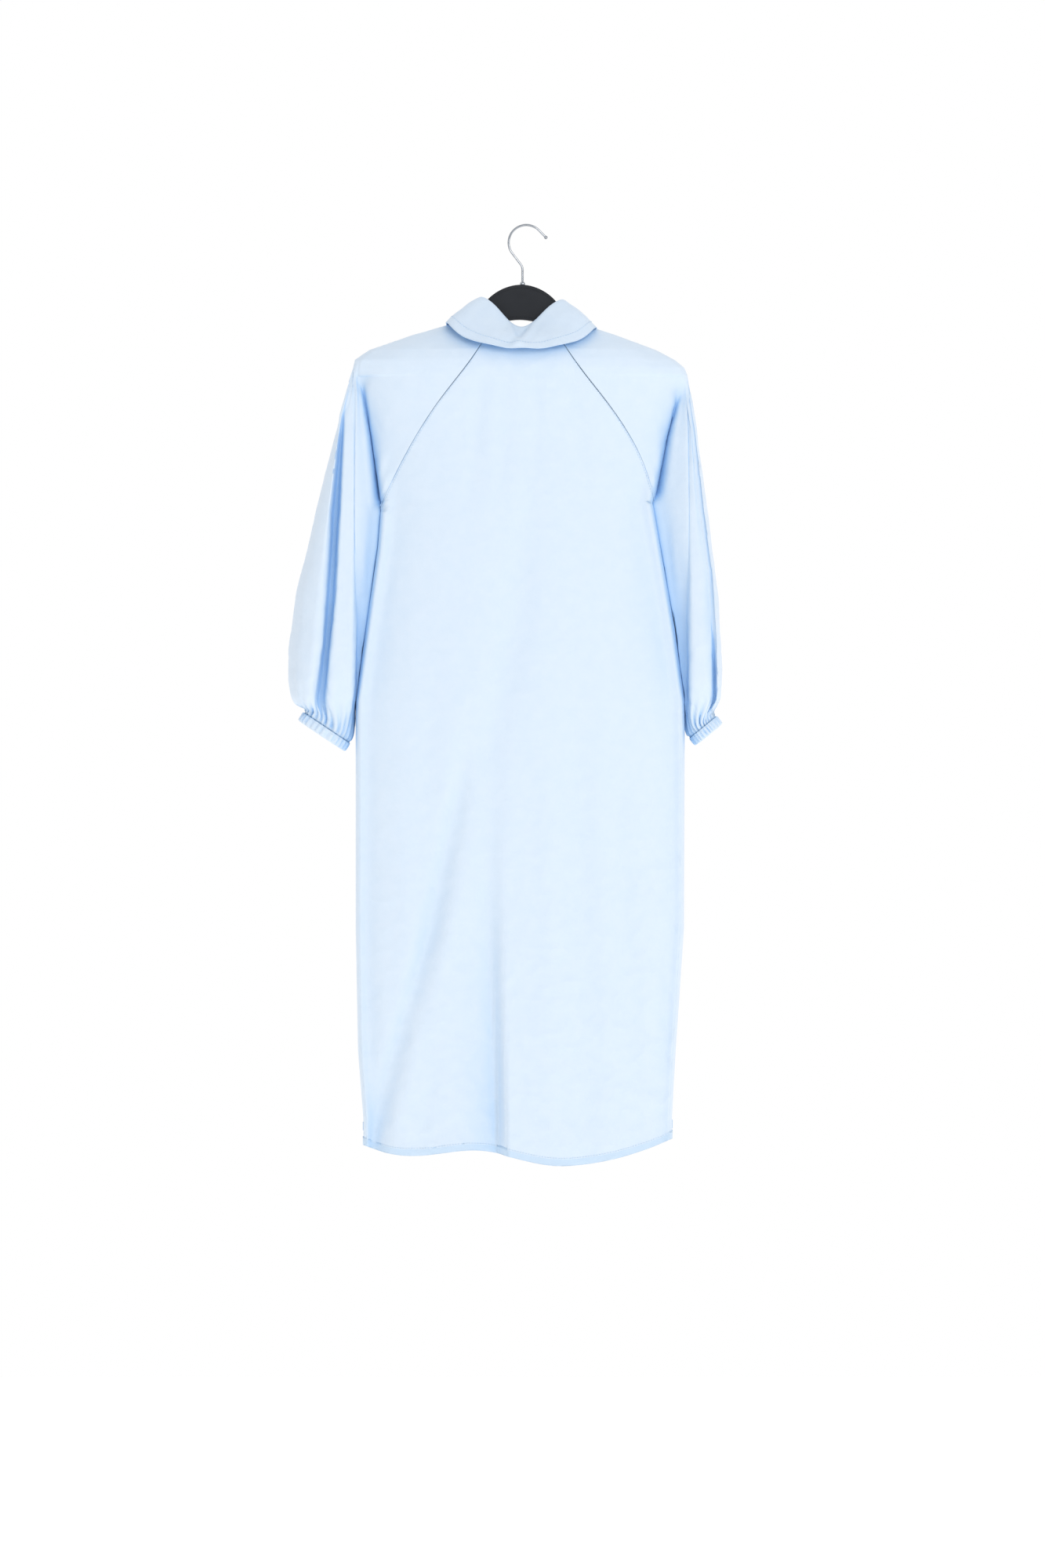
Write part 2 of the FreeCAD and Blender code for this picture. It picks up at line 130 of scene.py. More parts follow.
class Torso:
    """The gown's outer surface, by distance along its plan section from the middle."""

    STEP = 0.001            # between the places in the tables
    REACH = 0.32            # longest run that the tables cover
    TOP, BOTTOM = -0.094, -1.15     # heights between which the body has whole sections

    def __init__(self):
        edges = edges_of(BODY_NODES)
        self.levels = np.linspace(self.TOP, self.BOTTOM, 420)
        cuts = [slice_edges(edges, 2, z) for z in self.levels]
        self.sizes = np.array([(-cut[:, 0].min(), cut[:, 0].max(), -cut[:, 1].min(), cut[:, 1].max())
                               for cut in cuts])
        angles = np.linspace(0, math.pi / 2, 200)
        bend = 2 / FULLNESS
        self.reach = int(self.REACH / self.STEP)
        self.tables, self.edge = {}, {}
        wanted = np.arange(self.reach) * self.STEP
        for side, half_column in ((-1, 0), (1, 1)):
            for front, deep_column in ((False, 2), (True, 3)):
                xs, ys, ends = [], [], []
                for row in self.sizes:
                    x = row[half_column] * np.sin(angles) ** bend
                    y = row[deep_column] * np.cos(angles) ** bend
                    run = np.concatenate([[0], np.cumsum(np.hypot(np.diff(x), np.diff(y)))])
                    xs.append(np.interp(wanted, run, x))
                    ys.append(np.interp(wanted, run, y))
                    ends.append(run[-1])
                self.tables[side, front] = (np.array(xs), np.array(ys))
                self.edge[side, front] = np.array(ends)

    def size(self, z, column):
        """Half width at -X (0) or +X (1), or depth of the back (2) or the front (3)."""
        return np.interp(-np.asarray(z), -self.levels, self.sizes[:, column])

    def half(self, z, side):
        """Half width on one side."""
        return self.size(z, 0 if side < 0 else 1)

    def end(self, z, side, front):
        """Distance along the section from the middle to the side edge."""
        return np.interp(-np.asarray(z), -self.levels, self.edge[side, front])

    def along(self, x, z, side, front):
        """Distance along the section to the point that is x from the middle."""
        x, z = np.broadcast_arrays(np.asarray(x, float), np.asarray(z, float))
        half = self.half(z, side)
        deep = self.size(z, 3 if front else 2)
        result = np.zeros(x.shape)
        for i in np.ndindex(x.shape):
            u = np.linspace(0, min(abs(x[i]) / half[i], 1), 60)
            y = deep[i] * (1 - u ** FULLNESS) ** (1 / FULLNESS)
            result[i] = np.hypot(np.diff(u * half[i]), np.diff(y)).sum()
        return result

    def point(self, run, z, front=False):
        """x and y at a signed distance along the section, at height z."""
        run, z = np.broadcast_arrays(np.asarray(run, float), np.asarray(z, float))
        level = np.interp(-z, -self.levels, np.arange(len(self.levels)))
        lower = np.clip(level.astype(int), 0, len(self.levels) - 2)
        row_share = level - lower
        place = np.clip(np.abs(run) / self.STEP, 0, self.reach - 1.001)
        column = place.astype(int)
        share = place - column
        x, y = np.zeros(run.shape), np.zeros(run.shape)
        for side in (-1, 1):
            mine = (run < 0) if side < 0 else (run >= 0)
            for table, out in zip(self.tables[side, front], (x, y)):
                upper_row = table[lower, column] * (1 - share) + table[lower, column + 1] * share
                lower_row = table[lower + 1, column] * (1 - share) + table[lower + 1, column + 1] * share
                value = upper_row * (1 - row_share) + lower_row * row_share
                out[mine] = value[mine]
            x[mine] *= side
        return x, (y if front else -y)


torso = Torso()


class Seam:
    """The raglan seam on the back or the front, as x from the middle by height."""

    def __init__(self, name, front):
        edges = edges_of([name + "_sleeve_head"])
        side = SIDES[name]
        low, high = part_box(name + "_sleeve_head")
        heights, places = [], []
        for z in np.linspace(high.z - 0.002, low.z + 0.002, 140):
            cut = slice_edges(edges, 2, z)
            cut = cut[cut[:, 1] > 0.003] if front else cut[cut[:, 1] < -0.003]
            if len(cut):
                heights.append(z)
                places.append((cut[:, 0] * side).min())
        armpit = low.z - 0.001
        heights.append(armpit)
        places.append(float(torso.half(armpit, side)))
        self.heights, self.places = np.array(heights), np.array(places)

    def x(self, z):
        """Distance from the middle to the seam."""
        return np.interp(-np.asarray(z), -self.heights, self.places)


seams = {(name, front): Seam(name, front) for name in SIDES for front in (False, True)}


def outline(names, picker, left, right, steps=160):
    """Places along x, and the highest or lowest z of these nodes there."""
    edges = edges_of(names)
    xs, zs = [], []
    for x in np.linspace(left, right, steps):
        cut = slice_edges(edges, 0, x)
        if len(cut):
            xs.append(x)
            zs.append(picker(cut[:, 2]))
    return xs, zs


def top_line(names, reach, steps=160):
    """Highest z of these nodes, as a function of x."""
    xs, zs = outline(names, np.max, -reach, reach, steps)
    return lambda x: np.interp(x, xs, zs)


def hem_line(names, front):
    """Lowest z of these nodes, as a function of the signed run along the section."""
    inset = 0.003
    left, right = (float(torso.half(torso.BOTTOM, side)) - inset for side in (-1, 1))
    xs, zs = outline(names, np.min, -left, right)

    def height(run):
        x, _ = torso.point(run, np.full(np.shape(run), torso.BOTTOM), front)
        return np.interp(x, xs, zs)

    return height


# ---- mesh helpers ----

def mesh_object(name, points, faces):
    """A smooth-shaded object from points and faces."""
    mesh = bpy.data.meshes.new(name)
    mesh.from_pydata([tuple(p) for p in points], [], [tuple(int(i) for i in f) for f in faces])
    mesh.validate()
    mesh.update()
    mesh.polygons.foreach_set("use_smooth", [True] * len(mesh.polygons))
    piece = bpy.data.objects.new(name, mesh)
    bpy.context.scene.collection.objects.link(piece)
    return piece


def grid_faces(rows, columns, closed, flip):
    """Four-sided faces between the points of a grid."""
    faces = []
    last = columns if closed else columns - 1
    for i in range(rows - 1):
        for j in range(last):
            k = (j + 1) % columns
            face = (i * columns + j, i * columns + k, (i + 1) * columns + k, (i + 1) * columns + j)
            faces.append(face[::-1] if flip else face)
    return faces


def grid_object(name, grid, material, closed=False, flip=False, thickness=CLOTH):
    """A grid of points as a piece of cloth with thickness."""
    piece = mesh_object(name, grid.reshape(-1, 3), grid_faces(*grid.shape[:2], closed, flip))
    layer = piece.modifiers.new("cloth thickness", "SOLIDIFY")
    layer.thickness = thickness
    layer.offset = -1
    layer.use_even_offset = False
    piece.data.materials.append(material)
    return piece


def spaced(length, size=GRID, fine=(0.0, 0.0009, 0.0022, 0.0040)):
    """Shares from 0 to 1 along a length, with narrow steps (fine, from the end) at both ends."""
    ends = np.array(fine) / length
    count = max(2, int((length - 2 * fine[-1]) / size))
    middle = np.linspace(ends[-1], 1 - ends[-1], count + 1)
    return np.concatenate([ends[:-1], middle, 1 - ends[:-1][::-1]])


def wander(x, y, z, scale, seed=0.0):
    """Smooth noise from -1 to 1 over arrays of places."""
    flat = [noise.noise(Vector((a / scale + seed, b / scale, c / scale)))
            for a, b, c in zip(np.ravel(x), np.ravel(y), np.ravel(z))]
    return np.array(flat).reshape(np.shape(x))


def grid_normals(grid):
    """Unit normals at the points of a grid."""
    down = np.gradient(grid, axis=0)
    over = np.gradient(grid, axis=1)
    normal = np.cross(over, down)
    length = np.linalg.norm(normal, axis=2, keepdims=True)
    return normal / np.maximum(length, 1e-9)


def turned_hem(grid, inward):
    """Adds rows that turn the bottom edge under, by the width of the hem."""
    edge = grid[-1]
    up = grid[-6] - edge
    up = up / np.linalg.norm(up, axis=1, keepdims=True)
    across = np.zeros_like(edge)
    across[:, 1] = inward
    extra = [(0.0005, 0.0003), (0.0011, 0.0010), (0.0014, 0.0030), (0.0013, 0.0070), (0.0012, HEM)]
    rows = [edge + across * a + up * b for a, b in extra]
    return np.concatenate([grid, np.array(rows)])


def hem_band(piece, rows, columns, first):
    """Gives the doubled cloth below a row of the grid its deeper tone."""
    piece.data.materials.append(HEM_COTTON)
    tone = np.zeros((rows - 1, columns - 1), dtype=np.int32)
    tone[first:] = 1
    if len(piece.data.polygons) == tone.size:
        piece.data.polygons.foreach_set("material_index", tone.ravel())


def stitch_mesh(name, lines):
    """One small thread spindle for each stitch along the lines of (points, normals)."""
    width, sunk, proud = 0.00042, 0.0001, 0.00012
    points, faces = [], []
    for line, normals in lines:
        runs = np.concatenate([[0], np.cumsum(np.linalg.norm(np.diff(line, axis=0), axis=1))])
        count = max(1, int(runs[-1] / (STITCH * 1.35)))
        for start in np.linspace(0, runs[-1], count, endpoint=False):
            ends = [start, start + STITCH * 0.5, start + STITCH]
            along = np.array([[np.interp(e, runs, line[:, k]) for k in range(3)] for e in ends])
            out = np.array([np.interp(ends[1], runs, normals[:, k]) for k in range(3)])
            out /= max(np.linalg.norm(out), 1e-9)
            tangent = along[2] - along[0]
            tangent /= max(np.linalg.norm(tangent), 1e-9)
            side = np.cross(tangent, out)
            base = len(points)
            points += [along[0] - out * sunk, along[2] - out * sunk]
            points += [along[1] + direction * width + out * proud for direction in (side, out * 1.1, -side, -out)]
            for i in range(4):
                a, b = base + 2 + i, base + 2 + (i + 1) % 4
                faces += [(base, b, a), (base + 1, a, b)]
    piece = mesh_object(name, points, faces)
    piece.data.materials.append(THREAD)
    return piece


# ---- materials ----

def new_material(name):
    """A material, its node tree and its surface shader."""
    material = bpy.data.materials.new(name)
    material.use_nodes = True
    return material, material.node_tree, material.node_tree.nodes["Principled BSDF"]


def fill(tree, node, inputs):
    """Links the inputs that are given as sockets, and sets the others to their values."""
    for key, value in inputs.items():
        socket = node.inputs[key]
        if isinstance(value, bpy.types.NodeSocket):
            tree.links.new(value, socket)
        else:
            socket.default_value = (*value, 1) if socket.type == "RGBA" else value


def add(tree, kind, inputs, **settings):
    """A new shader node with these inputs and settings."""
    node = tree.nodes.new("ShaderNode" + kind)
    for key, value in settings.items():
        setattr(node, key, value)
    fill(tree, node, inputs)
    return node


def texture(tree, kind, scale, inputs, **settings):
    """The grey of a texture that is laid out in the part's own metres."""
    place = add(tree, "TexCoord", {}).outputs["Object"]
    return add(tree, kind, {"Vector": place, "Scale": scale, **inputs}, **settings).outputs["Fac"]


def mixed(tree, factor, first, second):
    """A colour from the first (factor 0) to the second (factor 1)."""
    mix = add(tree, "Mix", {}, data_type="RGBA")
    fill(tree, mix, {"Factor": factor, "A": first, "B": second})
    return mix.outputs["Result"]


def mapped(tree, value, low, high, to_low=0.0, to_high=1.0):
    """A value that runs from to_low to to_high while the given one runs from low to high."""
    return add(tree, "MapRange", {"Value": value, "From Min": low, "From Max": high,
                                  "To Min": to_low, "To Max": to_high}).outputs["Result"]


def bumps(tree, shader, layers):
    """Stacks (height, strength, distance) bumps on the shader's normal."""
    normal = {}
    for height, strength, distance in layers:
        bump = add(tree, "Bump", {"Height": height, "Strength": strength, "Distance": distance, **normal})
        normal = {"Normal": bump.outputs["Normal"]}
    fill(tree, shader, normal)


def weave_height(tree):
    """Plain weave: two crossed sets of threads, as a height."""
    first, second = (texture(tree, "TexWave", 0.314 / WEAVE_PITCH,
                             {"Distortion": 1.2, "Detail": 2.0, "Detail Scale": 1.5}, bands_direction=direction)
                     for direction in ("X", "Z"))
    return add(tree, "Math", {0: first, 1: 0.5, 2: second}, operation="MULTIPLY_ADD").outputs[0]


def creases(tree):
    """Sharp unpressed creases that run mostly across the cloth, more of them low down."""
    place = add(tree, "TexCoord", {}).outputs["Object"]
    turned = add(tree, "Mapping", {"Vector": place, "Rotation": (0, 0.30, 0), "Scale": (16, 16, 48)})
    ridges = add(tree, "TexNoise", {"Vector": turned.outputs["Vector"], "Scale": 1.0, "Detail": 2.5,
                                    "Roughness": 0.55, "Distortion": 0.8}, noise_type="RIDGED_MULTIFRACTAL")
    height = add(tree, "SeparateXYZ", {"Vector": place}).outputs["Z"]
    low_down = mapped(tree, height, -0.35, -1.10, 0.25, 1.0)
    return add(tree, "Math", {0: ridges.outputs["Fac"], 1: low_down}, operation="MULTIPLY").outputs[0]


def cotton_material(name, pale, deep):
    """Washed cotton poplin: weave, slubs, faint colour variation and soft crinkles, with painted shade: a bluer
    shade colour mixed in where ambient occlusion finds folds and recesses.
    """
    material, tree, shader = new_material(name)
    cloud = texture(tree, "TexNoise", 60.0, {"Detail": 6.0, "Roughness": 0.6})
    plain = mixed(tree, mapped(tree, cloud, 0.35, 0.65), deep, pale)
    # Painted shade: ambient occlusion over 85 mm, mapped below into a mix towards the shade blue in folds and
    # recesses.
    occlusion_shade = add(tree, "AmbientOcclusion", {"Distance": 0.085}, samples=8).outputs["AO"]
    crinkle = texture(tree, "TexNoise", 75.0, {"Detail": 5.0, "Roughness": 0.55})
    slub = texture(tree, "TexNoise", 420.0, {"Detail": 3.0, "Roughness": 0.7})
    bumps(tree, shader, [(creases(tree), 0.40, 0.0020), (crinkle, 0.25, 0.0020),
                         (slub, 0.18, 0.0004), (weave_height(tree), 0.22, 0.00018)])
    fill(tree, shader, {"Base Color": mixed(tree, mapped(tree, occlusion_shade, 0.15, 0.95), PAINTED_FOLD_SHADE, plain),
                        "Roughness": 0.82, "Sheen Weight": 0.18, "Sheen Roughness": 0.5,
                        "Specular IOR Level": 0.25})
    return material


def striped_material(name, direction, scale, distortion, first, second, relief, roughness, sheen=0.0):
    """Fine stripes in two tones and in relief, for thread, ribbed elastic and woven tape."""
    material, tree, shader = new_material(name)
    stripes = texture(tree, "TexWave", scale, {"Distortion": distortion}, bands_direction=direction)
    bumps(tree, shader, [(stripes, *relief)])
    fill(tree, shader, {"Base Color": mixed(tree, stripes, first, second), "Roughness": roughness,
                        "Sheen Weight": sheen})
    return material


def plastic_material(name, first, second, roughness, grain, coat=0.0, shine=0.5):
    """Moulded plastic with a faint grain and slightly uneven gloss."""
    material, tree, shader = new_material(name)
    fine = texture(tree, "TexNoise", grain, {"Detail": 4.0, "Roughness": 0.6})
    broad = texture(tree, "TexNoise", 35.0, {"Detail": 3.0})
    bumps(tree, shader, [(fine, 0.12, 0.0003)])
    fill(tree, shader, {"Base Color": mixed(tree, broad, first, second), "Coat Weight": coat,
                        "Roughness": mapped(tree, broad, 0.0, 1.0, roughness - 0.07, roughness + 0.07),
                        "Specular IOR Level": shine})
    return material


def chrome_material():
    """Chromed wire with a drawn, slightly uneven gloss."""
    material, tree, shader = new_material("chromed wire")
    drawn = texture(tree, "TexNoise", 160.0, {"Detail": 4.0})
    bumps(tree, shader, [(drawn, 0.05, 0.0002)])
    fill(tree, shader, {"Base Color": mixed(tree, drawn, (0.30, 0.31, 0.33), (0.52, 0.53, 0.55)),
                        "Roughness": mapped(tree, drawn, 0.0, 1.0, 0.10, 0.26), "Metallic": 1.0})
    return material


PAINTED_FOLD_SHADE = (0.38, 0.62, 0.90)      # painted shade: the blue mixed into the cotton's colour where ambient occlusion finds folds and recesses
COTTON = cotton_material("blue cotton poplin", (0.725, 0.800, 0.885), (0.705, 0.788, 0.880))
COLLAR_COTTON = cotton_material("collar cotton", (0.700, 0.780, 0.870), (0.680, 0.765, 0.865))
HEM_COTTON = cotton_material("hem cotton", (0.62, 0.735, 0.86), (0.60, 0.725, 0.855))
THREAD = striped_material("sewing thread", "DIAGONAL", 900.0, 0.5, (0.60, 0.73, 0.86), (0.70, 0.80, 0.89),
                          (0.3, 0.0002), 0.6)
ELASTIC = striped_material("cuff elastic", "Z", 260.0, 0.4, (0.66, 0.66, 0.64), (0.86, 0.86, 0.84),
                           (0.5, 0.0005), 0.75)
LABEL = striped_material("woven label", "Z", 520.0, 0.3, (0.80, 0.83, 0.86), (0.93, 0.94, 0.95),
                         (0.25, 0.0002), 0.45, 0.3)


# ---- folds of the hanging cloth ----

def pleats(x, z, hem, folds):
    """Long folds, each as x at its start and at the hem, depth, width and how far down it starts."""
    push = np.zeros(np.shape(x))
    for start, end, depth, width, top in folds:
        line = start + (end - start) * ramp(-z, top, -hem)
        push += depth * bell(x - line, width) * ramp(-z, top, top + 0.35)
    return push


def back_folds(x, z):
    """How far the back of the gown is pushed in (positive) at x, z."""
    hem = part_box("back_panel")[0].z
    # One deep step down the middle: the left half hangs in behind the right half.
    step_x = -0.030 + 0.004 * np.sin((z + 0.7) * 9)
    grow = ramp(-z, 0.62, -hem)
    step = 0.027 * grow
    edge = 0.007 + 0.010 * (1 - grow)
    left_of = smooth(0.5 - (x - step_x) / (2 * edge))
    fall = np.where(x < step_x, np.exp((x - step_x) / 0.085), 1.0)
    push = step * left_of * fall
    push -= 0.25 * step * (1 - left_of) * np.exp(-(x - step_x) / 0.045)
    # A shallow valley between the shoulders, and a slanting one towards the left hem.
    broad_x = -0.002 - 0.050 * ramp(-z, 0.40, 0.78)
    push += 0.0055 * bell(x - broad_x, 0.024) * ramp(-z, 0.30, 0.44) * (1 - ramp(-z, 0.66, 0.84))
    slant_x = np.interp(-z, [0.60, 0.72, 0.90, 1.08, 1.2], [-0.070, -0.083, -0.119, -0.171, -0.200])
    push += 0.0085 * bell(x - slant_x, 0.013) * ramp(-z, 0.58, 0.80)
    push -= 0.0035 * bell(x - slant_x - 0.030, 0.020) * ramp(-z, 0.62, 0.85)
    push += pleats(x, z, hem, ((0.070, 0.085, 0.0045, 0.020, 0.45), (0.118, 0.148, 0.0050, 0.018, 0.55),
                               (-0.118, -0.128, 0.0030, 0.020, 0.40), (0.030, 0.036, -0.0025, 0.018, 0.5)))
    # Short pulls below the collar.
    for start, end, depth, width in ((-0.052, -0.070, 0.0022, 0.012), (0.060, 0.090, 0.0022, 0.013),
                                     (0.018, 0.012, 0.0016, 0.012), (-0.018, -0.030, 0.0014, 0.012)):
        line = start + (end - start) * ramp(-z, 0.14, 0.40)
        push += depth * bell(x - line, width) * ramp(-z, 0.14, 0.19) * (1 - ramp(-z, 0.26, 0.44))
    return push


def front_folds(x, z):
    """How far the front of the gown is pushed in (positive) at x, z."""
    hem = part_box("left_front_band")[0].z
    return pleats(x, z, hem, ((-0.070, -0.085, 0.0055, 0.020, 0.40), (0.075, 0.088, 0.0055, 0.020, 0.45),
                              (-0.125, -0.150, 0.0060, 0.019, 0.50), (0.105, 0.112, -0.003, 0.014, 0.5),
                              (0.160, 0.172, 0.0045, 0.014, 0.50), (-0.040, -0.045, -0.0025, 0.016, 0.5)))


def crinkles(x, y, z, seed):
    """Small unpressed wrinkles, stronger low on the gown."""
    low = 0.35 + 0.65 * ramp(-z, 0.55, 1.1)
    tilt = 0.35 * x
    broad = wander(x * 1.6, y, (z + tilt) * 0.8, 0.040, seed)
    fine = wander(x * 1.3 - 0.3 * z, y, z, 0.017, seed + 7)
    crease = 1 - np.abs(wander(x * 1.2 + 0.5 * z, y, z - 0.4 * x, 0.030, seed + 13)) * 3
    return low * (0.0014 * broad + 0.0006 * fine - 0.0011 * np.clip(crease, 0, 1) ** 2)


# ---- cloth panels of the body ----

def side_flare(from_edge, z):
    """How far the back stands out beside its side edges, where the sleeves hang behind it."""
    return 0.016 * bell(from_edge - 0.020, 0.013) * ramp(from_edge, 0.0, 0.006) * ramp(-z, 0.24, 0.36)


class Panel:
    """A cloth panel on the torso, from a left to a right boundary and from a top edge to a hem."""

    def __init__(self, front, left, right, corners, top_z, hem_z, seed):
        self.front, self.left, self.right = front, left, right
        self.corners, self.top_z, self.hem_z = corners, top_z, hem_z
        self.seed = seed

    def place(self, s, t):
        """Run along the section and height of the point at shares s and t."""
        high_left, high_right = self.corners
        low_left, low_right = (float(self.hem_z(edge(torso.BOTTOM))) for edge in (self.left, self.right))
        z_left = high_left + (low_left - high_left) * t
        z_right = high_right + (low_right - high_right) * t
        run = self.left(z_left) * (1 - s) + self.right(z_right) * s
        z = z_left * (1 - s) + z_right * s
        top_run = self.left(high_left) * (1 - s) + self.right(high_right) * s
        low_run = self.left(low_left) * (1 - s) + self.right(low_right) * s
        if self.top_z is not None:
            z = z + (1 - t) ** 3 * (self.top_z(top_run) - (high_left * (1 - s) + high_right * s))
        z = z + t ** 3 * (self.hem_z(low_run) - (low_left * (1 - s) + low_right * s))
        return run, z

    def point(self, s, t):
        """The cloth's place in space at shares s and t, with its folds."""
        s, t = np.broadcast_arrays(np.asarray(s, float), np.asarray(t, float))
        run, z = self.place(s, t)
        x, y = torso.point(run, z, self.front)
        side = np.where(run < 0, torso.end(z, -1, self.front), torso.end(z, 1, self.front))
        from_edge = side - np.abs(run)
        mask = ramp(from_edge, 0.0, 0.045) * ramp(-z, 0.105, 0.16)
        folds = front_folds(x, z) if self.front else back_folds(x, z)
        push = folds * mask + crinkles(x, y, z, self.seed) * ramp(from_edge, 0.0, 0.010)
        near = np.minimum(s, 1 - s) * np.maximum(np.abs(self.right(z) - self.left(z)), 0.004)
        push = push + SEAM_SINK * bell(near, 0.0016)
        pucker = np.sin(z * 900 + 3 * np.sin(z * 70)) * bell(near - 0.006, 0.005)
        push = push + 0.00022 * pucker - side_flare(from_edge, z)
        y = y + push * (-1 if self.front else 1)
        return np.stack([x, y, z], axis=-1)

    def grid(self, width, length):
        """The whole panel, with faces of the usual size for this width and length."""
        return self.point(spaced(width)[None, :], spaced(length)[:, None])

    def line(self, s, t):
        """Points and outward normals along arrays of shares, for stitches."""
        s, t = np.broadcast_arrays(np.asarray(s, float), np.asarray(t, float))
        aside = self.point(np.clip(s + 0.004, 0, 1), t) - self.point(np.clip(s - 0.004, 0, 1), t)
        below = self.point(s, np.clip(t + 0.002, 0, 1)) - self.point(s, np.clip(t - 0.002, 0, 1))
        normals = np.cross(aside, below)
        normals *= np.sign(normals[:, 1:2]) * (1 if self.front else -1)
        normals /= np.maximum(np.linalg.norm(normals, axis=1, keepdims=True), 1e-12)
        return self.point(s, t) + normals * 0.0002, normals


def boundary(name, front):
    """The raglan seam and, below it, the side seam, as a signed run by height."""
    side = SIDES[name]
    seam = seams[name, front]
    ends = torso.end(HEIGHTS, side, front)
    runs = np.where(HEIGHTS > seam.heights[-1], torso.along(seam.x(HEIGHTS), HEIGHTS, side, front), ends)
    runs = np.minimum(runs + SEAM_LAP, ends)
    return lambda z: side * np.interp(-np.asarray(z), -HEIGHTS, runs)


def upright(x):
    """A panel's edge that runs straight down at x."""
    return lambda z: np.full(np.shape(z), x)


def upper_corner(node, side):
    """Height of a panel's highest point on one side."""
    points = np.array([v.co for v in frame["nodes"][node].data.vertices])
    points = points[points[:, 0] * side > 0.02]
    return points[:, 2].max()


def on_gown(*pieces):
    """These pieces ride on the gown."""
    for piece in pieces:
        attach(piece, "gown")


def band_half():
    """Half width of the front band."""
    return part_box("right_front_band_low")[1].x


def fold_line():
    """x and y of the line about which the right front edge folds back."""
    joint = next(j for j in frame["joints"] if j["name"] == "front_opening")
    return joint["pos_m"][0], joint["pos_m"][1]


def flap_blend(*pieces):
    """Bakes each piece's placement into its mesh."""
    for piece in pieces:
        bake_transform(piece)


def sew(name, panel, size, seam_lines, hem_reach, place):
    """A panel's cloth with its turned hem, and its stitches; place puts them on their body."""
    grid = turned_hem(panel.grid(*size), -1.0 if panel.front else 1.0)
    cloth = grid_object(name + "_cloth", grid, COTTON, flip=not panel.front)
    first, last, count = hem_reach
    lines = [(np.linspace(first, last, count), 1 - (HEM - HEM_STITCH) / size[1]), *seam_lines]
    stitches = stitch_mesh(name + "_stitches", [panel.line(s, t) for s, t in lines])
    place(cloth, stitches)
    return cloth, stitches, grid.shape[:2]


def make_back():
    """The whole back below the raglan seams, in one piece."""
    size = (0.43, 1.08)
    corners = [upper_corner("back_panel", side) for side in (-1, 1)]
    panel = Panel(False, boundary("left", False), boundary("right", False), corners,
                  top_line(["back_panel"], 0.046, 60), hem_line(["back_panel"], False), 1.0)
    seam_lines = [(place, np.linspace(0.02, 0.245, 160)) for place in (0.009, 0.991)]
    cloth, stitches, shape = sew("back", panel, size, seam_lines, (0.01, 0.99, 400), on_gown)
    hem_band(cloth, *shape, int(np.searchsorted(spaced(size[1]), 1 - HEM / size[1])))
    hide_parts("back_panel")


def make_left_front():
    """The wearer's left front, from the raglan seam to the band."""
    edge = -band_half()
    limit = edge - 0.002
    top = top_line(["left_front_panel"], 0.20)
    hem = hem_line(["left_front_panel"], True)
    corners = (upper_corner("left_front_panel", -1), float(top(limit)))
    panel = Panel(True, boundary("left", True), upright(edge), corners, lambda x: top(np.minimum(x, limit)),
                  lambda x: hem(np.minimum(x, limit)), 2.0)
    seam_lines = [(0.02, np.linspace(0.02, 0.235, 160))]
    cloth, stitches, _ = sew("left_front", panel, (0.21, 1.03), seam_lines, (0.01, 0.97, 220), on_gown)
    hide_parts("left_front_panel")


def make_right_front():
    """The wearer's right front: the panel that folds back, and the one beside it."""
    edge = band_half() - 0.0015
    limit = edge + 0.002
    line_x, _ = fold_line()
    seam = boundary("right", True)
    fold_run = torso.along(np.full(len(HEIGHTS), line_x), HEIGHTS, 1, True)
    fold_run = np.where(torso.half(HEIGHTS, 1) > line_x + 0.004, fold_run, 1.0)
    outer_run = np.minimum(fold_run, seam(HEIGHTS))

    def outer(z):
        return np.interp(-np.asarray(z), -HEIGHTS, outer_run)

    top = top_line(["right_front_yoke"], 0.17)
    hem = hem_line(["right_front_yoke", "right_front_flap", "right_front_side"], True)
    corners = (float(top(limit)), upper_corner("right_front_yoke", 1))
    panel = Panel(True, upright(edge), outer, corners, lambda x: top(np.maximum(x, limit)),
                  lambda x: hem(np.maximum(x, limit)), 3.0)
    seam_lines = [(0.975, np.linspace(0.02, 0.11, 80))]
    cloth, stitches, _ = sew("right_front", panel, (0.118, 1.03), seam_lines, (0.06, 0.99, 120), flap_blend)
    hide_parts("right_front_yoke", "right_front_flap")

    meets = float(HEIGHTS[np.argmax(seam(HEIGHTS) - outer_run > 0.0015)])
    panel = Panel(True, outer, seam, (meets, meets), None, hem, 4.0)
    cloth, stitches, _ = sew("right_front_side", panel, (0.095, 0.92), [], (0.02, 0.97, 90), on_gown)
    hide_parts("right_front_side")


# ---- front bands ----

def centre_front(z):
    """How far the gown's outer face stands out at the centre front."""
    return torso.size(z, 3)


def band_grid(x0, x1, top, bottom, behind, seed, rise=0.0):
    """A narrow strip down the centre front, behind the outer face by that much."""
    levels = np.linspace(top, bottom, int((top - bottom) / 0.005))
    across = spaced(x1 - x0, 0.0032, (0.0, 0.0006, 0.0016))
    x = x0 + across[None, :] * (x1 - x0)
    z = levels[:, None] + 0 * x
    x = x + 0 * z
    bow = 0.0005 * np.sin(math.pi * across)[None, :]
    ripple = 0.0005 * wander(x, 0 * x, z, 0.030, seed) + 0.00025 * wander(x, 0 * x, z, 0.008, seed + 3)
    y = centre_front(z) - behind + bow + ripple + rise
    return np.stack([x, y, z], axis=-1)


def strip_lines(grid):
    """Lines of stitches down both edges of a strip, on its front face."""
    normals = np.zeros_like(grid[4:-4, 0])
    normals[:, 1] = 1
    return [(grid[4:-4, column] + normals * 0.0003, normals) for column in (4, -5)]


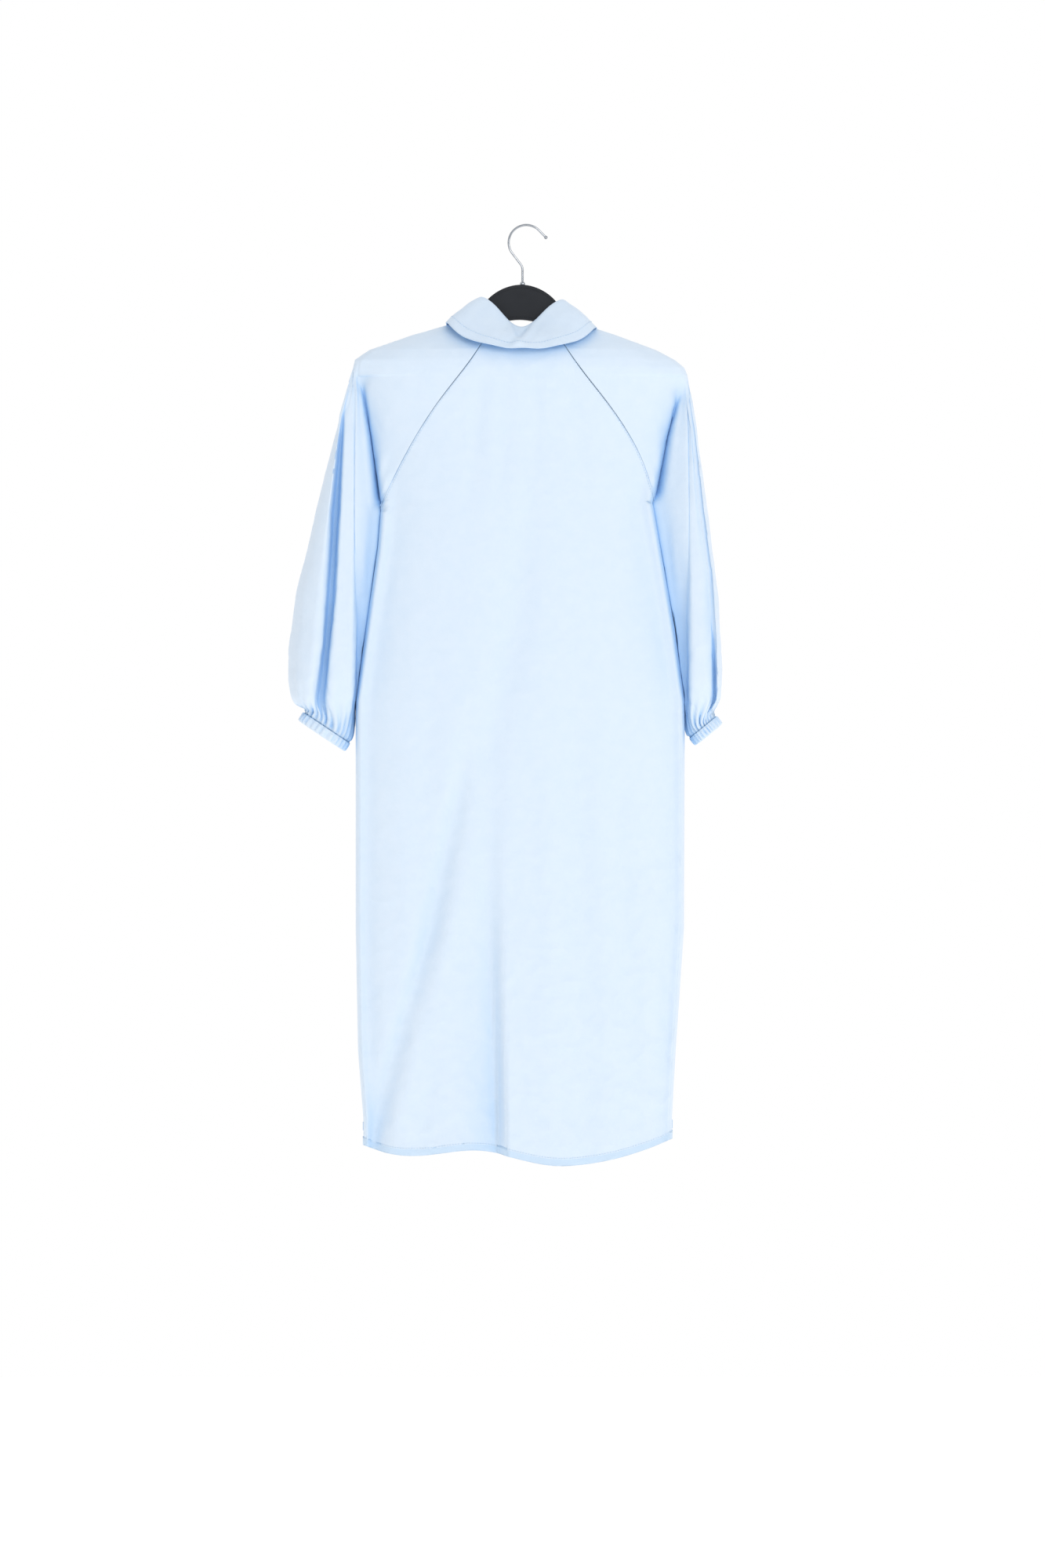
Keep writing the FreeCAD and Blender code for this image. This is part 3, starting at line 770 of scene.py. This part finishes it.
def make_bands():
    """The outer band with the caps, the inner one with the sockets, and its facing."""
    low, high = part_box("right_front_band_low"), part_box("right_front_band_top")
    outer_y = high[1].y - max(centre_front(high[1].z), centre_front(high[0].z))
    grid = band_grid(low[0].x, low[1].x, high[1].z, low[0].z, 0.0, 20.0, rise=outer_y)
    outer = grid_object("right_front_band_cloth", grid, COTTON, thickness=0.0019)
    stitches = stitch_mesh("right_band_stitches", strip_lines(grid))
    flap_blend(outer, stitches)
    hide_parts("right_front_band_top", "right_front_band_low")

    # The inner band lies 5 mm behind the outer face, and its facing laps it by 2 mm.
    low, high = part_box("left_front_band")
    grid = band_grid(-0.0185, high.x, high.z, low.z, 0.0050, 24.0)
    inner = grid_object("left_front_band_cloth", grid, COTTON, thickness=0.0018)
    stitches = stitch_mesh("left_band_stitches", strip_lines(grid))
    grid = band_grid(low.x, -0.0165, high.z, low.z, 0.0030, 28.0)
    facing = grid_object("left_front_facing", grid, COTTON, thickness=0.0010)
    on_gown(inner, stitches, facing)
    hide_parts("left_front_band")


def lathe(points, faces, centre, profile, steps=24):
    """Adds a turned shape about a line along Y; the profile is (radius, y)."""
    base = len(points)
    for radius, y in profile:
        for i in range(steps):
            a = 2 * math.pi * i / steps
            points.append((centre[0] + radius * math.cos(a), centre[1] + y, centre[2] + radius * math.sin(a)))
    for k in range(len(profile) - 1):
        for i in range(steps):
            j = (i + 1) % steps
            faces.append((base + k * steps + i, base + k * steps + j,
                          base + (k + 1) * steps + j, base + (k + 1) * steps + i))
    for k in (0, len(profile) - 1):
        ring = [base + k * steps + i for i in range(steps)]
        faces.append(ring if k else ring[::-1])


def stud_places(node):
    """Middle of each stud of a node, from the gaps between its vertices."""
    points = np.array([v.co for v in frame["nodes"][node].data.vertices])
    points = points[np.argsort(points[:, 2])]
    groups = np.split(points, np.where(np.diff(points[:, 2]) > 0.02)[0] + 1)
    return [((g.min(0) + g.max(0)) / 2, (g.max(0) - g.min(0)) / 2) for g in groups]


def make_low_studs(material):
    """Caps and sockets of the lower studs as turned shapes, with their placement baked into their meshes."""
    for node in ("stud_caps_low", "stud_sockets_low"):
        points, faces = [], []
        for middle, half in stud_places(node):
            r, d = half[0], half[1]
            if node == "stud_caps_low":
                profile = [(0.3 * r, -d), (0.96 * r, -d), (r, -0.4 * d), (r, 0.2 * d), (0.93 * r, 0.75 * d),
                           (0.82 * r, d), (0.70 * r, 0.9 * d), (0.64 * r, 0.62 * d), (0.45 * r, 0.55 * d),
                           (0.12 * r, 0.66 * d)]
            else:
                profile = [(0.40 * r, d), (0.92 * r, d), (r, 0.5 * d), (r, -0.4 * d), (0.9 * r, -d),
                           (0.58 * r, -0.9 * d), (0.5 * r, -0.3 * d), (0.42 * r, 0.2 * d)]
            lathe(points, faces, middle, profile)
        piece = mesh_object(node.replace("_low", "_front_edge"), points, faces)
        piece.data.materials.append(material)
        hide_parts(node)
        flap_blend(piece)


# ---- sleeves ----

class Sleeve:
    """One raglan sleeve, from the neck over the shoulder to its elastic cuff."""

    # Where the folds on the back of the sleeve run: distance from the middle by depth below the origin.
    FOLDS = {
        "left": {
            "ridge_in": ([0.18, 0.54, 0.60], [0.2195, 0.2195, 0.2215]),
            "slit": ([0.22, 0.257, 0.35, 0.464, 0.53, 0.60], [0.235, 0.2375, 0.244, 0.2508, 0.2555, 0.2640]),
            "slit_width": ([0.22, 0.257, 0.35, 0.60], [0.002, 0.0040, 0.0095, 0.0110]),
            "slit_depth": ([0.215, 0.26, 0.35, 0.60], [0.0, 0.006, 0.014, 0.015]),
            "swell": ([0.2, 0.6], [0.0, 0.0]),
        },
        "right": {
            "ridge_in": ([0.18, 0.60], [0.2165, 0.2185]),
            "slit": ([0.22, 0.35, 0.44, 0.53, 0.61], [0.2215, 0.2330, 0.2455, 0.2495, 0.2515]),
            "slit_width": ([0.22, 0.44, 0.53, 0.61], [0.003, 0.003, 0.003, 0.004]),
            "slit_depth": ([0.45, 0.50, 0.56, 0.61], [0.0, 0.001, 0.005, 0.006]),
            "swell": ([0.22, 0.27, 0.34, 0.42], [0.0, 0.012, 0.012, 0.0]),
        },
    }
    TOUCH = 0.0008          # how close the sleeve hangs beside the body's edge
    BESIDE = 0.0014         # and beside the body's back
    CUFF_NARROW = 0.92      # the stretched elastic pulls the cuff in by this much
    CUFF_SHIFT = 0.007      # and the cloth's weight pulls it down its sleeve
    OUTER_JOIN = -0.300     # down to here the sleeve's outside is straight from the shoulder tip
    LAST = -0.592           # height of the lowest whole section, above the cuff
    # Faces between one control point of a section and the next; 8 after the last of these.
    COLUMNS = [12, 12, 12, 8, 5, 5, 5, 5, 5, 8, 8, 6, 6, 6, 9, 9, 9, 9, 9, 7, 6, 5, 5, 6, 6]

    def __init__(self, name):
        self.name, self.side = name, SIDES[name]
        self.measure_tube()
        self.measure_cuff()

    def measure_tube(self):
        """Sections of the CAD sleeve by height, its armpit and its shoulder tip."""
        edges = edges_of([self.name + "_sleeve"])
        heights = np.linspace(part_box(self.name + "_sleeve")[1].z - 0.001, self.LAST, 150)
        rows = []
        for z in heights:
            cut = slice_edges(edges, 2, z)
            x = cut[:, 0] * self.side
            rows.append((x.min(), x.max(), -cut[:, 1].min(), cut[:, 1].max()))
        self.heights, self.rows = heights, np.array(rows)
        self.armpit = seams[self.name, False].heights[-1]
        side_edge = torso.half(heights, self.side) + self.TOUCH
        self.rows[:, 0] = np.minimum(self.rows[:, 0], side_edge)
        above = heights > self.armpit - 0.004
        self.rows[above, 0] = side_edge[above]
        upper = np.linspace(-0.10, -0.25, 300)
        halves = torso.half(upper, self.side)
        self.tip = upper[halves.argmax()]
        self.tip_half = halves.max()

    def measure_cuff(self):
        """The CAD cuff's middle, its three half sizes and the ways it faces."""
        points = np.array([v.co for v in frame["nodes"][self.name + "_cuff_casing"].data.vertices])
        points = np.unique(np.round(points, 6), axis=0)
        self.centre = (points.min(0) + points.max(0)) / 2
        _, vectors = np.linalg.eigh(np.cov((points - self.centre).T))
        facing, deep, across = vectors.T
        if abs(across[0]) <= abs(deep[0]):
            across, deep = deep, across
        spans = [np.ptp((points - self.centre) @ v) / 2 for v in (across, deep, facing)]
        self.cuff_half, self.cuff_deep, self.cuff_width = spans
        self.cuff_half *= self.CUFF_NARROW
        # The cloth's cuff is turned to face down its sleeve, square to the gown's depth.
        self.facing = np.array([facing[0], 0.0, facing[2]]) * (-1 if facing[2] > 0 else 1)
        self.facing /= np.linalg.norm(self.facing)
        self.deep = np.array([0.0, 1.0, 0.0])
        self.across = np.array([-self.facing[2], 0.0, self.facing[0]])
        self.across *= np.sign(self.across[0] * self.side)
        self.centre = self.centre + self.facing * self.CUFF_SHIFT

    def tube(self, z, column):
        """The CAD sleeve's inside (0), outside (1), back (2) or front (3) at a height."""
        return np.interp(-z, -self.heights, self.rows[:, column])

    def outer(self, z):
        """Distance from the middle to the outside of the shoulder and the sleeve."""
        if z > self.tip:
            return float(torso.half(z, self.side))
        if z > self.OUTER_JOIN:
            halves = [self.tip_half, float(self.tube(self.OUTER_JOIN, 1))]
            return float(np.interp(-z, [-self.tip, -self.OUTER_JOIN], halves))
        return float(self.tube(z, 1))

    def fold(self, key, z):
        """One measure of the sleeve's folds at a height."""
        depths, values = self.FOLDS[self.name][key]
        return np.interp(-z, depths, values)

    def torso_path(self, z, front, shares, spare=0.0):
        """Points along the shoulder from the seam (0) to the side edge (1), let out by spare."""
        seam = seams[self.name, front]
        end = torso.end(z, self.side, front)
        start = min(float(torso.along(seam.x(z), z, self.side, front)), end)
        if z < self.armpit:
            start = end
        run = start + (end - start) * np.array(shares)
        x, y = torso.point(self.side * run, np.full(len(run), z), front)
        if not front:
            y = y - side_flare(end - run, z)
        half = float(torso.half(z, self.side))
        reach = np.abs(x) / half
        return np.stack([np.abs(x) + spare * reach ** 8, y], axis=1)

    def beside_body(self, z, depths):
        """|x| of the body's side at these depths behind the hanger's plane, let out by a gap."""
        end = float(torso.end(z, self.side, False))
        away = np.linspace(0, 0.045, 60)
        x, y = torso.point(self.side * (end - away), np.full(len(away), z), False)
        depth = np.maximum.accumulate(side_flare(away, z) - y)
        return np.interp(depths, depth, np.abs(x)) + self.BESIDE

    def control(self, z):
        """Control points of the sleeve's plan section: |x| and y, seam to seam."""
        near, _, back, front = (float(self.tube(z, k)) for k in range(4))
        far = self.outer(z)
        tube = float(ramp(-z, -self.tip - 0.004, -self.tip + 0.042))
        low = float(ramp(-z, -self.armpit - 0.024, -self.armpit + 0.004))
        near = min(near, far - 0.012)
        ridge_in = max(self.fold("ridge_in", z), near + 0.003)
        slit = min(max(self.fold("slit", z), ridge_in + 0.005), far - 0.003)
        gap, depth = self.fold("slit_width", z) / 2, self.fold("slit_depth", z)
        swell = self.fold("swell", z)
        crest = -0.93 * back                    # y of the folds' ridges
        floor = -min(0.021, 0.60 * back)        # y of the recess between sleeve and body
        wide = max(far - slit, 0.003)
        inner = ridge_in - near
        crisp = float(ramp(-z, 0.36, 0.52))
        slope = (1 - crisp) * (crest - floor)
        lip = crest * (1 - 0.10 * min(1.0, depth / 0.006))
        # The back of the sleeve: the recess, the inner ridge, the slit and the outer ridge.
        features = np.array([
            (near + 0.25 * inner, floor + 0.12 * slope),
            (near + 0.58 * inner, floor + 0.50 * slope - swell * crisp),
            (ridge_in - 0.002, floor + 0.86 * slope - 0.003 * crisp),
            (ridge_in - 0.0005 + 0.0010 * (1 - crisp), 0.62 * crest * crisp + 0.91 * crest * (1 - crisp)),
            (ridge_in + 0.0030, 0.93 * crest * crisp + 0.96 * crest * (1 - crisp)),
            (0.5 * (ridge_in + slit), crest),
            (slit - gap - 0.0022, 0.98 * crest),
            (slit - 0.85 * gap, lip + 0.80 * depth),
            (slit, lip + depth),
            (slit + 0.85 * gap, lip + 0.80 * depth),
            (slit + gap + 0.0030, 1.01 * crest),
            (slit + 0.42 * wide, -1.0 * back),
            (slit + 0.80 * wide, -0.68 * back),
            (far, 0.5 * (front - back)),
        ])
        # Beside the body: from the seam to the side edge, and below the armpit down its side.
        seam_end = self.torso_path(z, False, [0.0, 0.30, 0.58, 0.82, 0.94])
        seam_end[-1] = (seam_end[-1][0] * (1 - low) + (near + 0.002) * low, seam_end[-1][1])
        depths = floor * np.array([0.0, 0.30, 0.60, 0.85, 1.0])
        inside = np.stack([np.minimum(self.beside_body(z, -depths), near), depths], axis=1)
        inside[0, 0] = near
        on_body = seam_end * (1 - low) + inside * low
        on_body[0] = seam_end[0] if z > self.armpit else inside[0]
        top_body = self.torso_path(z, False, np.linspace(0, 0.84, 5))
        on_body = top_body * (1 - tube) + on_body * tube
        spare = far - float(torso.half(z, self.side))
        spread_places = self.torso_path(z, False, np.linspace(0.88, 1.0, 14), spare)
        back_part = spread_places * (1 - tube) + features * tube
        # The front, back to the seam.
        front_shares = [1.0, 0.97, 0.94, 0.91, 0.87, 0.82, 0.60, 0.30, 0.0]
        front_shoulder = self.torso_path(z, True, front_shares, spare)[1:]
        front_features = np.array([
            (slit + 0.78 * wide, 0.72 * front),
            (slit + 0.30 * wide, 1.0 * front),
            (0.5 * (near + slit) + 0.004, 0.90 * front),
            (near + 0.30 * (slit - near), 0.42 * front),
            (near + 0.008, 0.018),
        ])
        front_seam = self.torso_path(z, True, [0.86, 0.5, 0.0])
        front_inside = np.array([(near + 0.003, 0.010), (near + 0.001, 0.005), (near, 0.0)])
        front_end = front_seam * (1 - low) + front_inside * low
        front_end[-1] = front_seam[-1] if z > self.armpit else front_inside[-1]
        front_part = np.concatenate([front_features, front_end])
        front_part = front_shoulder * (1 - tube) + front_part * tube
        return np.concatenate([on_body, back_part, front_part])

    def row(self, z):
        """A smooth section through the control points, as (columns, 3)."""
        control = self.control(z)
        before = control[0] * 2 - control[1]
        after = control[-1] * 2 - control[-2]
        points = np.concatenate([[before], control, [after]])
        found = []
        counts = self.COLUMNS + [8] * (len(control) - 1 - len(self.COLUMNS))
        for i in range(len(control) - 1):
            a, b, c, d = points[i:i + 4]
            for k in range(counts[i]):
                t = k / counts[i]
                value = 0.5 * ((2 * b) + (c - a) * t + (2 * a - 5 * b + 4 * c - d) * t * t
                               + (3 * b - a - 3 * c + d) * t ** 3)
                found.append(value)
        found.append(control[-1])
        found = np.array(found)
        return np.stack([self.side * found[:, 0], found[:, 1], np.full(len(found), z)], axis=1)

    def cuff_ring(self, angles, distance, inset, gathers=0.0):
        """Points on the cuff's oval; distance is from the casing's middle towards the sleeve."""
        swell = gathers * self.pleats(angles)
        across = (self.cuff_half - inset + swell) * np.cos(angles)
        deep = (self.cuff_deep - inset + swell) * np.sin(angles)
        return (self.centre - self.facing * distance - self.across * across[:, None]
                - self.deep * deep[:, None])

    def pleats(self, angles):
        """Uneven gathers round the cuff, from -1 to 1."""
        drift = 0.55 * np.sin(3 * angles + self.side) + 0.35 * np.sin(7 * angles)
        return np.sin(26 * angles + 2.2 * drift) * (0.75 + 0.25 * np.sin(5 * angles + 1))

    def grid(self):
        """Sections from the shoulder down, and then the gathers into the cuff."""
        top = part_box(self.name + "_sleeve_head")[1].z - 0.003
        heights = np.concatenate([np.linspace(top, -0.125, 26, endpoint=False),
                                  np.linspace(-0.125, -0.185, 46, endpoint=False),
                                  np.linspace(-0.185, self.LAST, 128)])
        rows = [self.row(z) for z in heights]
        # From the last section, each column runs in a smooth curve to its place on the cuff.
        last, before = rows[-1], rows[-4]
        runs = np.concatenate([[0], np.cumsum(np.linalg.norm(np.diff(last, axis=0), axis=1))])
        angles = 2 * math.pi * runs / runs[-1]
        target = self.cuff_ring(angles, self.cuff_width, 0.0)
        drop = np.linalg.norm(target - last, axis=1).mean()
        start_way = last - before
        start_way /= np.linalg.norm(start_way, axis=1, keepdims=True)
        steps = 22
        for k in range(1, steps + 1):
            t = k / steps
            h00, h10 = 2 * t ** 3 - 3 * t ** 2 + 1, t ** 3 - 2 * t ** 2 + t
            h01, h11 = -2 * t ** 3 + 3 * t ** 2, t ** 3 - t ** 2
            rows.append(h00 * last + h10 * start_way * drop * 1.35 + h01 * target
                        + h11 * self.facing[None, :] * drop * 0.9)
        grid = np.array(rows)
        return self.gathered(grid, angles, len(heights), steps)

    def gathered(self, grid, angles, start, steps):
        """Adds crinkles everywhere and gathers that fade up from the cuff."""
        normals = grid_normals(grid) * -self.side
        x, y, z = grid[..., 0], grid[..., 1], grid[..., 2]
        near_cuff = smooth((np.arange(len(grid)) - (start - 10)) / (steps + 8))
        pleats = self.pleats(angles)[None, :] * near_cuff[:, None] ** 1.6
        wobble = crinkles(x, y, z - 0.25, 5.0 + self.side) * 0.9
        long_folds = 0.0016 * wander(x * 2.2, y * 2.2, z * 0.35, 0.03, 9.0 + self.side) * ramp(-z, 0.30, 0.52)
        settle = np.ones(len(grid))
        settle[-2:] = 0.4
        edge = np.minimum(np.arange(grid.shape[1]), np.arange(grid.shape[1])[::-1])
        calm = smooth(edge / 6.0)[None, :] * ramp(-z, 0.09, 0.13)
        push = (wobble + long_folds) * calm * settle[:, None] + 0.0034 * pleats * settle[:, None]
        grid = grid + normals * push[..., None]
        inward = SEAM_SINK * bell(edge[None, :] / 1.2, 1.0) * np.where(z > self.armpit, 1, 0)
        return grid - normals * inward[..., None]

    def arm_blend(self, piece):
        """Bakes the sleeve cloth's placement into its mesh."""
        armpit = np.array([self.side * float(torso.half(self.armpit, self.side)), 0, self.armpit])
        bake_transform(piece)

    def make(self):
        """The sleeve's cloth and its cuff."""
        cloth = grid_object(self.name + "_sleeve_cloth", self.grid(), COTTON, flip=self.side < 0)
        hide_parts(self.name + "_sleeve_head", self.name + "_sleeve")
        self.arm_blend(cloth)
        self.make_cuff()

    def make_cuff(self):
        """A casing turned over the elastic, with fine gathers on both faces."""
        angles = np.linspace(0, 2 * math.pi, 420, endpoint=False)
        half = self.cuff_width
        wall = 0.0032
        # Each ring: distance towards the sleeve, share of the way to the inner face, strength of the gathers.
        profile = [(half, 0.0, 0.3), (0.75 * half, 0.0, 0.8), (0.2 * half, 0.0, 1.0), (-0.4 * half, 0.0, 1.0),
                   (-0.85 * half, 0.0, 0.8), (-half, 0.25, 0.5), (-1.08 * half, 0.5, 0.3), (-half, 0.8, 0.5),
                   (-0.8 * half, 1.0, 0.8), (0.0, 1.0, 1.0), (0.8 * half, 1.0, 0.8), (1.0 * half, 1.0, 0.4)]
        rings = []
        for distance, share, gather in profile:
            inset = -0.0003 + share * (wall + 0.0006)
            lift = 0.0016 if share < 0.5 else -0.0012
            rings.append(self.cuff_ring(angles, distance, inset - lift, gathers=0.0016 * gather))
        piece = grid_object(self.name + "_cuff_cloth", np.array(rings), COTTON, closed=True, flip=self.side < 0,
                            thickness=0.0005)
        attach(piece, self.name + "_arm")
        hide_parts(self.name + "_cuff_casing")
        ring = self.cuff_ring(angles, 0.55 * half, -0.0024, gathers=0.0016)
        out = ring - self.centre
        out -= np.outer(out @ self.facing, self.facing)
        out /= np.linalg.norm(out, axis=1, keepdims=True)
        stitches = stitch_mesh(self.name + "_cuff_stitches", [(ring, out)])
        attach(stitches, self.name + "_arm")
        self.make_elastic(wall)

    def make_elastic(self, wall):
        """The elastic band between the two faces of the casing."""
        angles = np.linspace(0, 2 * math.pi, 300, endpoint=False)
        reach = 0.62 * self.cuff_width
        rings = [self.cuff_ring(angles, distance, 0.5 * wall, gathers=0.0008)
                 for distance in np.linspace(reach, -reach, 8)]
        name = self.name + "_cuff_elastic"
        piece = grid_object(name + "_band", np.array(rings), ELASTIC, closed=True, flip=self.side < 0,
                            thickness=0.0007)
        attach(piece, self.name + "_arm")
        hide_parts(name)


# ---- collar ----

class Collar:
    """Stand and fall in one roll of cloth, from rings measured on the CAD collar."""

    def __init__(self):
        self.stand = edges_of(["collar_stand"])
        self.fall = edges_of(["collar_fall"])
        self.angles = np.radians(np.linspace(-158.5, 158.5, 210))

    @staticmethod
    def cut(edges, angle):
        """Radius and height of the points in the half plane at an angle from the centre back."""
        across = np.array([math.cos(angle), math.sin(angle), 0])
        out = np.array([math.sin(angle), -math.cos(angle), 0])
        start, end = edges
        low, high = start @ across, end @ across
        hit = low * high < 0
        share = low[hit] / (low[hit] - high[hit])
        points = start[hit] + share[:, None] * (end[hit] - start[hit])
        radius = points @ out
        keep = radius > 0
        return radius[keep], points[keep][:, 2]

    def ring(self, edges, highest):
        """Radius and height of the top or bottom of a cut, at every angle."""
        angles, found = [], []
        for angle in self.angles:
            radius, z = self.cut(edges, angle)
            if len(z):
                place = z.argmax() if highest else z.argmin()
                angles.append(angle)
                found.append((radius[place], z[place]))
        found = np.array(found)
        ring = np.stack([np.interp(self.angles, angles, found[:, k]) for k in range(2)], axis=1)
        for _ in range(10):
            ring[1:-1] = 0.25 * ring[:-2] + 0.5 * ring[1:-1] + 0.25 * ring[2:]
        return ring

    def grid(self):
        """From the neck seam up the stand, over the roll and down the fall, at every angle."""
        seam, fold = self.ring(self.stand, False), self.ring(self.stand, True)
        crease, edge = self.ring(self.fall, True), self.ring(self.fall, False)
        columns = []
        for i, angle in enumerate(self.angles):
            s, f, c, e = seam[i], fold[i], crease[i], edge[i]
            out = np.array([math.sin(angle), -math.cos(angle)])
            control = np.array([
                s, s + (f - s) * 0.35, s + (f - s) * 0.72, f + [-0.0005, -0.002], f + [0.0008, 0.0012],
                (f + c) / 2 + [0.001, 0.0018], c + [0.0010, 0.0006], c + (e - c) * 0.16 + [0.0004, 0.0014],
                c + (e - c) * 0.42 + [0.001, 0.0034], c + (e - c) * 0.70 + [0.001, 0.0030],
                c + (e - c) * 0.92 + [0.0006, 0.0008], e])
            run = np.concatenate([[0], np.cumsum(np.linalg.norm(np.diff(control, axis=0), axis=1))])
            places = np.concatenate([np.linspace(0, run[6], 22, endpoint=False), np.linspace(run[6], run[-1], 22)])
            radius = np.interp(places, run, control[:, 0])
            height = np.interp(places, run, control[:, 1])
            columns.append(np.stack([out[0] * radius, out[1] * radius, height], axis=1))
        grid = np.array(columns).transpose(1, 0, 2)
        for _ in range(3):
            grid[1:-1] = 0.25 * grid[:-2] + 0.5 * grid[1:-1] + 0.25 * grid[2:]
        return self.wrinkled(grid)

    def wrinkled(self, grid):
        """Soft pulls that run slantwise from the roll to the collar's edge."""
        normals = grid_normals(grid)
        normals *= np.sign((normals * (grid - grid.mean((0, 1)))).sum(2, keepdims=True) + 1e-9)
        rows = np.arange(grid.shape[0])[:, None] / (grid.shape[0] - 1)
        a = self.angles[None, :]
        on_fall = smooth((rows - 0.50) / 0.12) * (1 - smooth((rows - 0.93) / 0.07))
        pull = (0.0024 * np.exp(-((a + 0.55 - 1.1 * (rows - 0.5)) / 0.13) ** 2)
                + 0.0022 * np.exp(-((a - 0.50 + 1.5 * (rows - 0.5)) / 0.15) ** 2)
                - 0.0016 * np.exp(-((a - 0.15 + 1.0 * (rows - 0.5)) / 0.12) ** 2)
                + 0.0012 * np.exp(-((a + 1.25 - 0.5 * (rows - 0.5)) / 0.16) ** 2))
        x, y, z = grid[..., 0], grid[..., 1], grid[..., 2]
        small = 0.0009 * wander(x, y, z, 0.020, 31.0) + 0.0004 * wander(x, y, z, 0.008, 35.0)
        wave = 0.0012 * np.sin(9 * a + 1.0) * smooth((rows - 0.75) / 0.25)
        push = (pull + small) * on_fall + wave
        return grid + normals * push[..., None]

    def make(self):
        """The collar's cloth and its stitches."""
        grid = self.grid()
        piece = grid_object("collar_cloth", grid, COLLAR_COTTON, thickness=0.0018)
        piece.modifiers["cloth thickness"].offset = 0
        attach(piece, "gown")
        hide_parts("collar_stand", "collar_fall")
        normals = grid_normals(grid)
        normals *= np.sign(normals[-6, :, 2])[None, :, None]
        lines = [(grid[-5, 2:-2] + normals[-5, 2:-2] * 0.0011, normals[-5, 2:-2])]
        for column in (2, -3):
            lines.append((grid[26:-4, column] + normals[26:-4, column] * 0.0011, normals[26:-4, column]))
        stitches = stitch_mesh("collar_stitches", lines)
        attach(stitches, "gown")


def make_label():
    """A folded woven label inside the back of the neck."""
    low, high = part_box("neck_label")
    across = np.linspace(low.x, high.x, 26)
    down = np.linspace(high.z, low.z, 26)
    x, z = np.meshgrid(across, down)
    curl = 0.0016 * ((z - high.z) / (low.z - high.z)) ** 2 + 0.0006 * np.sin((x - low.x) * 120)
    y = np.full(x.shape, high.y) + curl
    x = x + 0.0005 * np.sin(z * 300)
    piece = grid_object("neck_label_cloth", np.stack([x, y, z], axis=-1), LABEL, thickness=0.0004)
    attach(piece, "gown")
    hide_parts("neck_label")


# ---- the hanger, hook and studs keep their CAD shapes ----

def finish_hard_parts():
    """Gives the CAD parts that stay in view their plastics and their chrome."""
    black = plastic_material("black moulded plastic", (0.012, 0.013, 0.016), (0.020, 0.021, 0.025), 0.36, 700.0,
                             shine=0.25)
    pearl = plastic_material("pale stud plastic", (0.66, 0.79, 0.91), (0.74, 0.85, 0.94), 0.22, 300.0, coat=0.6)
    parts = {black: ["hanger"],
             chrome_material(): ["hook_wire", "hook_tip", "hook_retainer", "hook_ferrule"],
             pearl: ["stud_caps_top", "stud_sockets_top", "stud_balls", "stud_backs"]}
    for material, names in parts.items():
        for name in names:
            slots = frame["nodes"][name].data.materials
            slots.clear()
            slots.append(material)
    return pearl


# ---- stage, light and camera ----

def in_scene(name, data, place):
    """A new object for a light or a camera."""
    thing = bpy.data.objects.new(name, data)
    bpy.context.scene.collection.objects.link(thing)
    thing.location = place
    return thing


def make_stage():
    """A wide pale floor well below the hem."""
    material, tree, shader = new_material("pale floor")
    fill(tree, shader, {"Base Color": (0.99, 0.99, 0.99), "Roughness": 0.9, "Emission Color": (1, 1, 1),
                        "Emission Strength": 0.3})
    half = 6.0
    floor = mesh_object("floor", [(-half, -half, 0), (half, -half, 0), (half, half, 0), (-half, half, 0)],
                        [(0, 1, 2, 3)])
    floor.location.z = CAD_BOX[0][2] - 0.75
    floor.data.materials.append(material)


def make_light():
    """One large soft light, above and to the right of the camera."""
    place, target = (1.3, -3.6, 1.0), (0, 0, -0.6)
    data = bpy.data.lights.new("key", "AREA")
    data.shape = "SQUARE"
    data.size = 1.6
    data.energy = 40.0
    light = in_scene("key", data, place)
    light.visible_camera = False
    light.rotation_euler = (Vector(target) - Vector(place)).to_track_quat("-Z", "Y").to_euler()


def make_world():
    """White behind the gown, and a little darker and bluer on the camera's side."""
    world = bpy.data.worlds.new("white studio")
    world.use_nodes = True
    tree = world.node_tree
    place = add(tree, "TexCoord", {}).outputs["Generated"]
    depth = add(tree, "SeparateXYZ", {"Vector": place}).outputs["Y"]
    tint = mixed(tree, mapped(tree, depth, -0.35, 0.35), (0.66, 0.71, 0.76), (1.0, 1.0, 1.0))
    fill(tree, tree.nodes["Background"], {"Color": tint, "Strength": 1.0})
    bpy.context.scene.world = world


def make_camera():
    """Straight at the back of the gown, ten metres away."""
    data = bpy.data.cameras.new("camera")
    data.sensor_width = 36.0
    data.lens = 174.8
    camera = in_scene("camera", data, (0.0, -10.0, -0.711))
    camera.rotation_euler = (math.pi / 2, 0, 0)
    bpy.context.scene.camera = camera


def main():
    """Builds the whole scene."""
    make_back()
    make_left_front()
    make_right_front()
    make_bands()
    for name in SIDES:
        Sleeve(name).make()
    Collar().make()
    make_label()
    make_low_studs(finish_hard_parts())
    make_stage()
    make_world()
    make_light()
    make_camera()
    bpy.context.scene.view_settings.view_transform = "Standard"


main()
